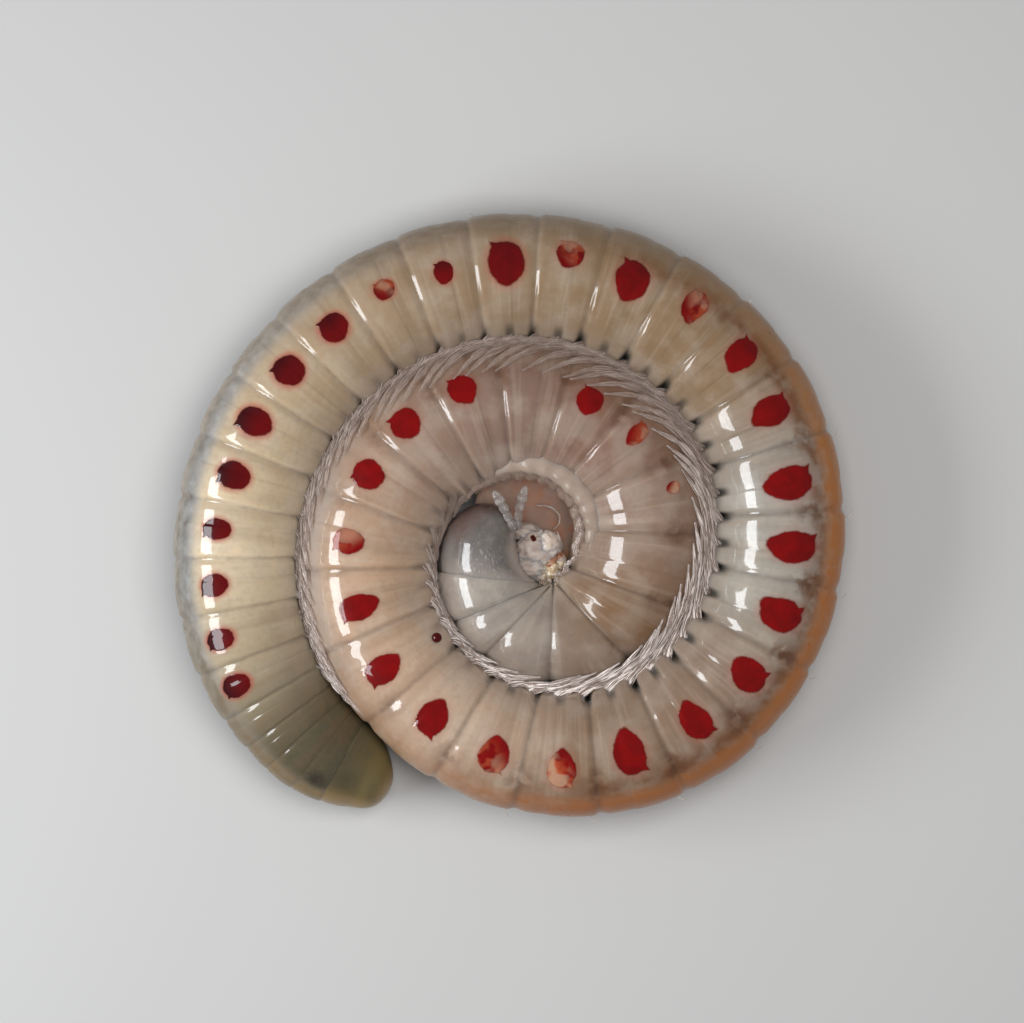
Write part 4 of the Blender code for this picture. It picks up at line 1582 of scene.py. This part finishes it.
@dataclass
class Ends:
    """The two plates at the ends of the rings: the blunt telson, and the collum."""

    shop: Workshop
    sides: int = 96
    telson_length: float = 0.28
    telson_rows: int = 40
    row_power: float = 1.7
    hind_overlap: float = 0.01
    cleft: float = 0.05
    cleft_width: float = 0.12
    soft_passes: int = 10
    bluntness: float = 3.0
    fullness: float = 0.42
    belly_depth: float = 0.062
    belly_power: float = 3.0

    def telson(self) -> Shell:
        """The telson: its share of the full width rises from nothing at the tip.

        With p from 0 at the tip to 1 at the ring, the share is one less the power of one less p
        to the bluntness, to the power of the fullness. Each row is then drawn towards the mean
        of its neighbours, some times over.
        """
        coil = self.shop.coil
        place = np.linspace(0.0, 1.0, self.telson_rows) ** self.row_power
        share = (1 - (1 - place) ** self.bluntness) ** self.fullness
        share = share * (1 - 0.018 * ease(place, 0.85, 1.0))
        length = coil.first_ring_at + self.hind_overlap - self.telson_length * (1 - place)
        own = coil.sections(coil.bearing_at(np.maximum(length, 0.0))).spread()
        back, up = np.cos(turns_round(self.sides)), np.sin(turns_round(self.sides))
        place, share = place[:, None], share[:, None]
        cleft = self.cleft * ease(place, 0.5, 0.1) * bell(up, 0.0, self.cleft_width)
        radius = np.maximum(share, 0.02) * (1 - cleft)
        soft = self.belly_depth * ease(place, 0.05, 0.7)
        soft = soft * np.maximum(-back, 0.0) ** self.belly_power
        grid = own.place(
            own.half_width * radius * back - soft,
            own.half_height * radius * up,
            np.minimum(length, 0.0)[:, None],
        )
        for _ in range(self.soft_passes):
            grid[1:-1] = (grid[:-2] + 2 * grid[1:-1] + grid[2:]) / 4
        masks = {
            "rim": np.maximum(ease(back, 0.35, 0.95), ease(place, 0.30, 0.02) * 0.8),
            "smudge": bell(back, 0.20, 0.30) * bell(place, 0.80, 0.16) * ease(up, 0.0, 0.6),
            "front": ease(place, 0.40, 1.0),
        }
        return close_tube(grid, masks)

    def collum(self) -> Shell:
        """The collum: a short smooth collar that swells a little and rounds off over the head."""
        coil = self.shop.coil
        place = np.concatenate([[-0.06, -0.02], np.linspace(0.02, 1.0, 24), [1.02, 1.0, 0.9]])
        share = 0.955 + 0.045 * ease(place, -0.02, 0.14) - 0.010 * ease(place, 0.55, 0.95)
        share = share - 0.020 * ease(place, 0.92, 1.02)
        share[-2:] = (0.93, 0.88)
        share[0] = 0.90
        own = coil.sections(coil.collum_bearing(place)).spread()
        back, up = np.cos(turns_round(self.sides)), np.sin(turns_round(self.sides))
        place, share = place[:, None], share[:, None]
        grid = own.place(own.half_width * share * back, own.half_height * share * up, 0 * place)
        run = coil.collum_length * place + 0 * back
        straight = np.stack([run, 0 * run + 0.25 * back, 0 * run + 0.25 * up], -1)
        masks = {
            # dark: painted shade towards the back, under the turn that lies round it; cheek: where
            # the painted glint lines lie
            "dark": 0.35 * ease(back, 0.3, 0.9),
            "cheek": 0.12 * bell(back, -0.1, 0.5),
            "pale": 0.3 * ease(-back, 0.3, 0.9),
        }
        return close_tube(grid, masks, straight)

    def build(self) -> None:
        """Build both plates."""
        olive = TailFinish(
            "olive tail horn", (0.135, 0.102, 0.042), roughness=0.3, glow=0.3, coat=0.4
        )
        tail = self.shop.build("telson_plate", self.telson(), olive, Slot.TAIL_HORN)
        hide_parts("telson")
        pearl = PearlFinish("pearl collum", (0.275, 0.240, 0.205), roughness=0.24, coat=1.0)
        collar = self.shop.build("collum_plate", self.collum(), pearl, Slot.PEARL_HORN)
        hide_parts("collum")


@dataclass
class Head:
    """The head: its capsule, the mouthparts against the throat, and the two feelers.

    A capsule row holds the angle round the fan point from the collum's front, the distances of
    throat and crown from that point, and half the height.
    """

    shop: Workshop
    capsule_rows: tuple[tuple[float, float, float, float], ...] = (
        (-6.0, 0.075, 0.535, 0.225), (0.0, 0.075, 0.560, 0.245), (13.0, 0.113, 0.582, 0.255),
        (25.0, 0.162, 0.590, 0.250), (35.0, 0.207, 0.566, 0.225), (43.0, 0.255, 0.530, 0.185),
        (49.0, 0.305, 0.485, 0.130), (53.0, 0.350, 0.440, 0.070), (54.2, 0.385, 0.405, 0.015),
    )  # fmt: skip
    level: float = 0.262
    sides: int = 96
    rows: int = 90
    cheek_fold: float = 0.022
    cheek_turns: Span = (2.25, 4.03)
    cheek_width: float = 0.10
    mouth_turn: float = 80.0
    lobes: tuple[tuple[Spread, Spread], ...] = (
        ((0.020, 0.042, 0.062), (0.105, 0.112, 0.066)),
        ((0.020, 0.042, -0.062), (0.105, 0.112, 0.066)),
        ((0.083, 0.020, 0.000), (0.115, 0.052, 0.105)),
        ((-0.040, 0.135, 0.000), (0.050, 0.080, 0.090)),
        ((0.060, 0.080, 0.082), (0.062, 0.055, 0.050)),
        ((-0.020, -0.030, 0.085), (0.050, 0.080, 0.045)),
        ((0.030, -0.045, 0.060), (0.060, 0.060, 0.050)),
        ((0.085, -0.030, 0.085), (0.062, 0.038, 0.048)),
        ((0.120, -0.010, 0.075), (0.045, 0.035, 0.050)),
    )
    hole_at: Span = (-0.010, 0.107)
    hole_radius: float = 0.016
    furrow_ends: Stations = ((0.069, -0.020), (0.133, 0.034))
    furrow_width: float = 0.015
    patch_at: Span = (0.098, 0.096)
    patch_radius: float = 0.070
    hem_below: float = -0.012
    feeler_near: tuple[Spread, ...] = (
        (-0.105, 0.150, 0.120), (-0.150, 0.262, 0.200), (-0.205, 0.340, 0.225),
    )  # fmt: skip
    feeler_far: tuple[Spread, ...] = (
        (-0.085, 0.150, 0.060), (-0.085, 0.260, 0.120), (-0.042, 0.365, 0.150),
    )  # fmt: skip
    feeler_radii: tuple[float, ...] = (0.020, 0.024, 0.021, 0.022, 0.025, 0.026, 0.022, 0.010)
    feeler_joints: int = 5
    feeler_steps: int = 84

    def capsule(self) -> Shell:
        """The capsule, swept round the fan point from the collum to the face.

        Its section is an ellipse between throat and crown, with a shallow groove down the
        middle of the face and a fold where the cheek meets the throat.
        """
        coil = self.shop.coil
        rows = np.array(self.capsule_rows)
        place = np.linspace(0.0, 1.0, self.rows) ** 0.8
        angle = rows[0, 0] + (rows[-1, 0] - rows[0, 0]) * place
        throat, crown, high = (
            smooth_curve(tuple(zip(rows[:, 0], rows[:, i])), angle) for i in (1, 2, 3)
        )
        neck = coil.sections(coil.collum_bearing(np.array([1.0])))
        turn = math.atan2(neck.back[0, 1], neck.back[0, 0]) - np.radians(angle)
        way = np.stack([np.cos(turn), np.sin(turn)], -1)
        middle = np.array(coil.fan) + way * ((throat + crown) / 2)[:, None]
        around = turns_round(self.sides)
        back, up = np.cos(around), np.sin(around)
        cheek = 1.0
        for fold in self.cheek_turns:
            cheek = cheek - self.cheek_fold * bell(around, fold, self.cheek_width)
        deep = ((crown - throat) / 2)[:, None] * back * cheek
        tall = high[:, None] * up * cheek
        plan = middle[:, None] + way[:, None] * deep[..., None]
        grid = np.concatenate([plan, (self.level + tall)[..., None]], -1)
        run = np.radians(angle)[:, None] * 0.45 * np.ones_like(up)
        straight = np.stack([run + 0.5 * deep, deep, tall - 0.5 * run], -1)
        place = place[:, None]
        masks = {
            # dark: painted shade over the crown, on its own mauve; cheek: where the painted glint
            # lines lie
            "dark": ease(back, 0.15, 0.85) * ease(place, 0.25, 0.6),
            "cheek": bell(back, -0.1, 0.45) * bell(place, 0.25, 0.22),
            "pale": np.maximum(ease(-back, 0.45, 0.85), ease(place, 0.40, 0.05) * 0.75),
        }
        return close_tube(grid, masks, straight)

    def mouth(self) -> Shell:
        """The mouthparts as uneven lobes: ellipsoids whose radius is ruffled by waves."""
        cos, sin = math.cos(math.radians(self.mouth_turn)), math.sin(math.radians(self.mouth_turn))
        ways = np.array([[cos, sin, 0.0], [-sin, cos, 0.0], [0.0, 0.0, 1.0]])
        ball = ball_grid(40, 56, 0.04)
        around = turns_round(56)
        grids = []
        for i, (middle, sizes) in enumerate(self.lobes):
            wave = 0.06 * np.sin(5 * ball[..., 0] * 2 + i) * np.sin(3 * around + 2 * i)
            wave = wave + 0.05 * np.sin(9 * ball[..., 2] + 3 * i) * np.cos(5 * around + i)
            wave = wave + 0.03 * np.sin(17 * ball[..., 0] + 5 * i) * np.cos(11 * around + i)
            grid = (ball * (1 + wave)[..., None] * sizes) @ ways
            grids.append(grid + middle + np.array([0.0, 0.0, self.level]))
        rings = np.stack(grids)
        plan = rings[..., :2]
        start, finish = (np.array(end) for end in self.furrow_ends)
        run = finish - start
        share = np.clip(((plan - start) @ run) / (run @ run), 0.0, 1.0)
        off = np.linalg.norm(plan - start - share[..., None] * run, axis=-1)
        hole = np.linalg.norm((plan - np.array(self.hole_at)) * (1.25, 0.85), axis=-1)
        patch = np.linalg.norm(plan - np.array(self.patch_at), axis=-1)
        masks = {
            # hole: where the mouth opening's painted shade goes
            "hole": ease(hole, 2.0 * self.hole_radius, 0.4 * self.hole_radius),
            "furrow": ease(off, 1.5 * self.furrow_width, 0.4 * self.furrow_width),
            "patch": ease(patch, 1.3 * self.patch_radius, 0.7 * self.patch_radius),
            "hem": ease(plan[..., 1], self.hem_below + 0.03, self.hem_below - 0.03)
            * ease(plan[..., 0], 0.015, 0.060),
        }
        return close_tubes(rings, masks)

    def feeler(self, bends: tuple[Spread, ...]) -> Shell:
        """A feeler: a curve through its bends, thick towards its end, pinched at its joints."""
        start, middle, tip = (np.array(bend) + (0.0, 0.0, self.level) for bend in bends)
        place = np.linspace(0.0, 1.0, self.feeler_steps)
        t = place[:, None]
        path = start * (1 - t) ** 2 + middle * 2 * t * (1 - t) + tip * t * t
        radius = np.interp(place, np.linspace(0, 1, len(self.feeler_radii)), self.feeler_radii)
        joint = np.abs(np.sin(np.pi * place * self.feeler_joints))
        radius = radius * (0.68 + 0.34 * joint**0.5)
        radius = radius * np.sqrt(np.clip(1 - ease(place, 0.955, 1.0) ** 2, 0.02, 1))
        return limb_shell(carry_profile(path[None], radius[None], 32), 0.4, np.array([0.42]))

    def build(self) -> None:
        """Build the capsule, the mouthparts and the feelers."""
        pearl = PearlFinish("pearl head", (0.132, 0.120, 0.110), roughness=0.22, coat=1.0)
        capsule = self.shop.build("head_capsule", self.capsule(), pearl, Slot.PEARL_HORN)
        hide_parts("head")
        chalk = MouthFinish("chalky mouthparts", (0.59, 0.46, 0.385), roughness=0.4, coat=0.4)
        jaws = self.shop.build("mouth_lobes", self.mouth(), chalk, Slot.MOUTH)
        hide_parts("mouthparts")
        silver = SilverFinish(
            "silver feeler", (0.34, 0.31, 0.29), roughness=0.16, coat=1.0, glow=0.0, thin=0.65,
            glint_thread_size=(0.060, 0.011), wrinkle=0.0018,
        )  # fmt: skip
        for name, node, bends in (
            ("feeler_left", "antenna_left", self.feeler_near),
            ("feeler_right", "antenna_right", self.feeler_far),
        ):
            piece = self.shop.build(name, self.feeler(bends), silver, Slot.FEELER)
            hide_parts(node)


@dataclass
class Legs:
    """Two pairs of legs to a ring, laid over the turn inside, and the first legs at the face.

    A leg leaves the belly at its root, passes the hip beside its own ring, and from the knee
    on lies over the back of the next turn inwards, swept towards the tail. Where no turn lies
    inside, it keeps to its own ring.
    """

    shop: Workshop
    seed: int = 7
    radii: tuple[float, ...] = (0.022, 0.024, 0.022, 0.017, 0.005)
    flatness: float = 0.6
    length: float = 0.5
    sweep: tuple[float, ...] = (-0.02, 0.07, 0.23, 0.40, 0.56)
    hip_ride: float = 0.035
    ride: float = 0.014
    off_floor: float = 0.016
    root_turn: float = 8.0
    root_depth: float = -0.2
    hip_turn: float = 15.0
    knee_turn: float = 17.0
    jitter: float = 0.035
    full_room: float = 1.45
    least_room: float = 0.4
    sweep_power: float = 2.0
    girth_power: float = 0.7
    open_from: float = 578.0
    open_full: float = 604.0
    open_ride: float = 0.082
    open_tuck: float = 0.024
    open_lift: float = 3.0
    spread_in: Stations = (
        (128, 0.08), (200, 0.09), (240, 0.16), (300, 0.19), (350, 0.13), (380, 0.15), (420, 0.11),
        (470, 0.065), (530, 0.055), (575, 0.085), (610, 0.090), (780, 0.06),
    )  # fmt: skip
    stretch: Stations = (
        (128, 1.0), (235, 1.0), (290, 1.30), (350, 1.50), (500, 1.50), (570, 1.20), (610, 1.0),
        (950, 1.0),
    )  # fmt: skip
    # How strongly the painted glints on each leg shine, by the bearing of its root.
    lit_stations: Stations = (
        (128, 0.62), (200, 0.60), (240, 0.50), (300, 0.45), (345, 0.55), (375, 0.80), (420, 1.0),
        (500, 1.0), (540, 0.65), (575, 0.35), (690, 0.25), (720, 0.70), (745, 0.70), (765, 0.40),
    )  # fmt: skip
    face_turns: tuple[tuple[int, float], ...] = ((41, 80.0), (42, 104.0), (43, 128.0))
    face_root: float = 0.070
    face_tip: float = 0.070
    face_heights: tuple[float, ...] = (0.030, 0.075, 0.095, 0.080)
    face_radii: tuple[float, ...] = (0.018, 0.018, 0.015, 0.009)
    steps: int = 49
    sides: int = 20
    segments: int = 6

    def beside(self, own: Sections, turn: Array, ride: Array, lift: Array) -> Array:
        """Places beside the legs' own rings.

        Args:
            own: The rings' sections.
            turn: Degrees up or down from the belly.
            ride: Distance off the ring.
            lift: One for the legs above, minus one for those below.

        Returns:
            The places.
        """
        turn = np.radians(turn)
        inward = (own.half_width + ride) * np.cos(turn)
        up = lift * (own.half_height + ride) * np.sin(turn)
        return own.place(-inward, up, np.zeros_like(up))

    def over_next_turn(self, own: Sections, bearing: Array, share: float, lift: Array) -> Array:
        """Places over the back of the next turn inwards.

        Args:
            own: The sections that the legs grow from.
            bearing: Their bearings.
            share: How far along, from 0 at the knee to 1 at the claw.
            lift: One for the legs above, minus one for those below.

        Returns:
            The places.
        """
        spread = smooth_curve(self.spread_in, bearing)
        inner, apart = self.shop.coil.turn_inside(own, bearing)
        wide = inner.half_width + self.ride
        high = inner.half_height + self.ride
        claw = np.arccos(np.clip((apart - own.half_width - spread) / wide, 0.1, 0.95))
        lowest = np.arcsin(np.clip((inner.level - self.off_floor) / high, 0.0, 1.0))
        claw = np.where(lift < 0, np.minimum(claw, lowest), claw)
        knee = math.radians(self.knee_turn)
        turn = knee + (claw - knee) * share
        up = inner.level - own.level + lift * high * np.sin(turn)
        return own.place(wide * np.cos(turn) - apart, up, np.zeros_like(up))

    def stops(self) -> tuple[Array, Array, Array]:
        """The stops of every walking leg's path, and how thick and how bright each leg is.

        Returns:
            Stops as an array of legs, stops and coordinates, a share of the full thickness, and
            the strength of the painted glints.
        """
        coil = self.shop.coil
        draw = random.Random(self.seed)
        skipped = [ring for ring, _ in self.face_turns]
        rows = [
            (coil.length_in(ring, place), lift, draw.uniform(-self.jitter, self.jitter))
            for ring in range(coil.legless_rings, coil.ring_count) if ring not in skipped
            for place in LEG_PLACES
            for lift in (1.0, -1.0)
        ]  # fmt: skip
        start, lift, sway = np.array(rows).T
        root = coil.bearing_at(start)
        reach = smooth_curve(coil.reach, root)
        room = self.full_room * (reach - coil.sections(root).half_width) / reach
        room = np.clip(room, self.least_room, 1.0)
        stretch = smooth_curve(self.stretch, root)
        last = len(self.sweep) - 1
        stops = []
        for step, sweep in enumerate(self.sweep):
            swept = (sweep + sway * step / last) * room**self.sweep_power * stretch
            bearing = root - np.degrees(swept / reach)
            own = coil.sections(bearing)
            if step == 0:
                stops.append(self.beside(own, self.root_turn, self.root_depth * own.half_width, lift))
                continue
            if step == 1:
                stops.append(self.beside(own, self.hip_turn, self.hip_ride, lift))
                continue
            turn = self.hip_turn + self.open_lift * (step - 1)
            ride = self.open_ride - self.open_tuck * (lift < 0)
            free = self.beside(own, turn, ride, lift)
            laid = self.over_next_turn(own, bearing, (step - 2) / (last - 2), lift)
            share = np.clip((bearing - self.open_from) / (self.open_full - self.open_from), 0, 1)
            stops.append(free * share[:, None] + laid * (1 - share[:, None]))
        lit = smooth_curve(self.lit_stations, root)
        return np.stack(stops, axis=1), room**self.girth_power, lit

    def face_stops(self) -> Array:
        """The stops of the first legs, which fold straight over to the mouthparts."""
        coil = self.shop.coil
        rings, degrees = np.array(self.face_turns).T
        own = coil.sections(coil.bearing_at(coil.length_in(rings.astype(int), 0.5)))
        ahead = np.stack([np.cos(np.radians(degrees)), np.sin(np.radians(degrees))], -1)
        share = np.linspace(0.0, 1.0, len(self.face_heights))[None, :, None]
        root, tip = own.back[:, None] * self.face_root, ahead[:, None] * self.face_tip
        plan = np.array(coil.fan) + root * (1 - share) + tip * share
        height = np.broadcast_to(np.array(self.face_heights), plan.shape[:2])
        level = own.level[:, None]
        heights = (level + height, level - height)
        return np.concatenate([np.concatenate([plan, up[..., None]], -1) for up in heights])

    def shell(self, stops: Array, radii: tuple[float, ...], girth: Array, lit: Array) -> Shell:
        """Carry a jointed profile along smooth paths.

        The radius runs through its stations and is pinched at the joints, by the root of the
        sine of the place times the number of segments.

        Args:
            stops: Stops of the paths.
            radii: Radius at the stops.
            girth: A share of that radius for each leg.
            lit: How strongly each leg's painted glints shine.

        Returns:
            The legs as one shell.
        """
        paths = through_points(stops, self.steps)
        place = np.linspace(0.0, 1.0, self.steps)
        radius = np.interp(place, np.linspace(0, 1, len(radii)), radii)
        joint = np.abs(np.sin(np.pi * (place * self.segments + 0.25)))
        radius = radius * (0.66 + 0.36 * joint**0.6)
        rings = carry_profile(paths, radius * girth[:, None], self.sides, self.flatness)
        return limb_shell(rings, self.length, lit)

    def build(self) -> None:
        """Build the walking legs, those above and those below, and the first legs."""
        silver = SilverFinish(
            "silver leg", (0.40, 0.29, 0.235), roughness=0.22, coat=0.6, glow=0.0, thin=0.42
        )
        stops, girth, lit = self.stops()
        for name, part in (("upper_legs", slice(0, None, 2)), ("lower_legs", slice(1, None, 2))):
            legs = self.shell(stops[part], self.radii, girth[part], lit[part])
            self.shop.build(name, legs, silver, Slot.FEELER)
        face = self.face_stops()
        whole = np.ones(len(face))
        first = self.shell(face, self.face_radii, whole, 0.6 * whole)
        golden = SilverFinish(
            "golden first leg", (0.46, 0.31, 0.18), roughness=0.2, coat=0.8, glow=0.0
        )
        self.shop.build("first_legs", first, golden, Slot.FEELER)


@dataclass
class Studio:
    """The plain pale floor, the soft lights and the camera.

    The picture's middle is given in its own pixels, and the pivot of the coil too.
    """

    shop: Workshop
    mm_per_pixel: float = 0.6 / 122
    picture_size: tuple[int, int] = (1024, 1023)
    pivot_pixel: tuple[float, float] = (535.0, 560.0)
    focus_height: float = 0.30
    lens: float = 200.0
    sensor: float = 36.0
    floor_half: float = 400.0

    def lamp(
        self, name: str, azimuth: float, height: float, reach: float,
        size: tuple[float, float], power: float,
    ) -> bpy.types.Object:  # fmt: skip
        """Hang a soft rectangular light that faces the animal.

        Args:
            name: Its name.
            azimuth: Degrees counter-clockwise from +X.
            height: Degrees over the floor.
            reach: Distance from the animal in mm.
            size: Its width and height in mm.
            power: Its power in milliwatts.

        Returns:
            The light.
        """
        data = bpy.data.lights.new(name, "AREA")
        data.shape = "RECTANGLE"
        data.size, data.size_y = size[0] * MM, size[1] * MM
        data.energy = power * MM
        lamp = bpy.data.objects.new(name, data)
        bpy.context.scene.collection.objects.link(lamp)
        turn, lean = math.radians(azimuth), math.radians(height)
        way = (math.cos(turn) * math.cos(lean), math.sin(turn) * math.cos(lean), math.sin(lean))
        lamp.location = tuple(reach * MM * part for part in way)
        lamp.rotation_euler = (math.pi / 2 - lean, 0.0, turn + math.pi / 2)
        LOG.info("light %s", name)
        return lamp

    def floor(self) -> None:
        """Lay the floor."""
        half = self.floor_half * MM
        mesh = bpy.data.meshes.new("floor")
        level = -0.0005 * MM
        signs = ((-1, -1), (1, -1), (1, 1), (-1, 1))
        corners = [(across * half, along * half, level) for across, along in signs]
        mesh.from_pydata(corners, [], [(0, 1, 2, 3)])
        pale = FloorFinish("pale board", (0.50, 0.49, 0.48), roughness=0.7, coat=0.0, glow=0.0)
        mesh.materials.append(pale.make())
        floor = bpy.data.objects.new("floor", mesh)
        bpy.context.scene.collection.objects.link(floor)

    def camera(self) -> None:
        """Set the camera straight over the coil, with the picture's framing."""
        data = bpy.data.cameras.new("camera")
        data.lens = self.lens
        data.sensor_width = self.sensor
        camera = bpy.data.objects.new("camera", data)
        bpy.context.scene.collection.objects.link(camera)
        bpy.context.scene.camera = camera
        wide, tall = self.picture_size
        right = (wide / 2 - self.pivot_pixel[0]) * self.mm_per_pixel * MM
        up = (self.pivot_pixel[1] - tall / 2) * self.mm_per_pixel * MM
        distance = wide * self.mm_per_pixel * self.lens / self.sensor + self.focus_height
        camera.location = (self.shop.shift[0] + right, self.shop.shift[1] + up, distance * MM)
        data.clip_start = 0.1 * distance * MM
        data.clip_end = 100 * distance * MM

    def build(self) -> None:
        """Build the floor, the lights, the world and the camera."""
        self.floor()
        key = self.lamp("key_softbox", 187.0, 36.0, 12.0, (8.5, 4.0), 1.15)
        key.data.color = (0.93, 0.97, 1.0)
        overhead = self.lamp("overhead_softbox", 10.0, 80.0, 12.0, (7.0, 7.0), 1.0)
        overhead.visible_glossy = False
        world = bpy.data.worlds.new("studio")
        world.use_nodes = True
        sky = world.node_tree.nodes["Background"]
        sky.inputs["Color"].default_value = (0.80, 0.82, 0.85, 1.0)
        sky.inputs["Strength"].default_value = 0.25
        bpy.context.scene.world = world
        bpy.context.scene.view_settings.view_transform = "Standard"
        self.camera()


def main() -> None:
    """Build the animal and its studio."""
    logging.basicConfig(level=logging.INFO, format="%(name)s: %(message)s")
    shop = Workshop(Coil())
    LOG.info("pivot of the coil in the frame, in mm: %s", np.round(shop.shift / MM, 4))
    rings = Rings(shop)
    rings.build()
    Bristles(shop, rings).build()
    BellyFold(shop).build()
    Ends(shop).build()
    Head(shop).build()
    Legs(shop).build()
    Studio(shop).build()


if __name__ == "__main__":
    main()
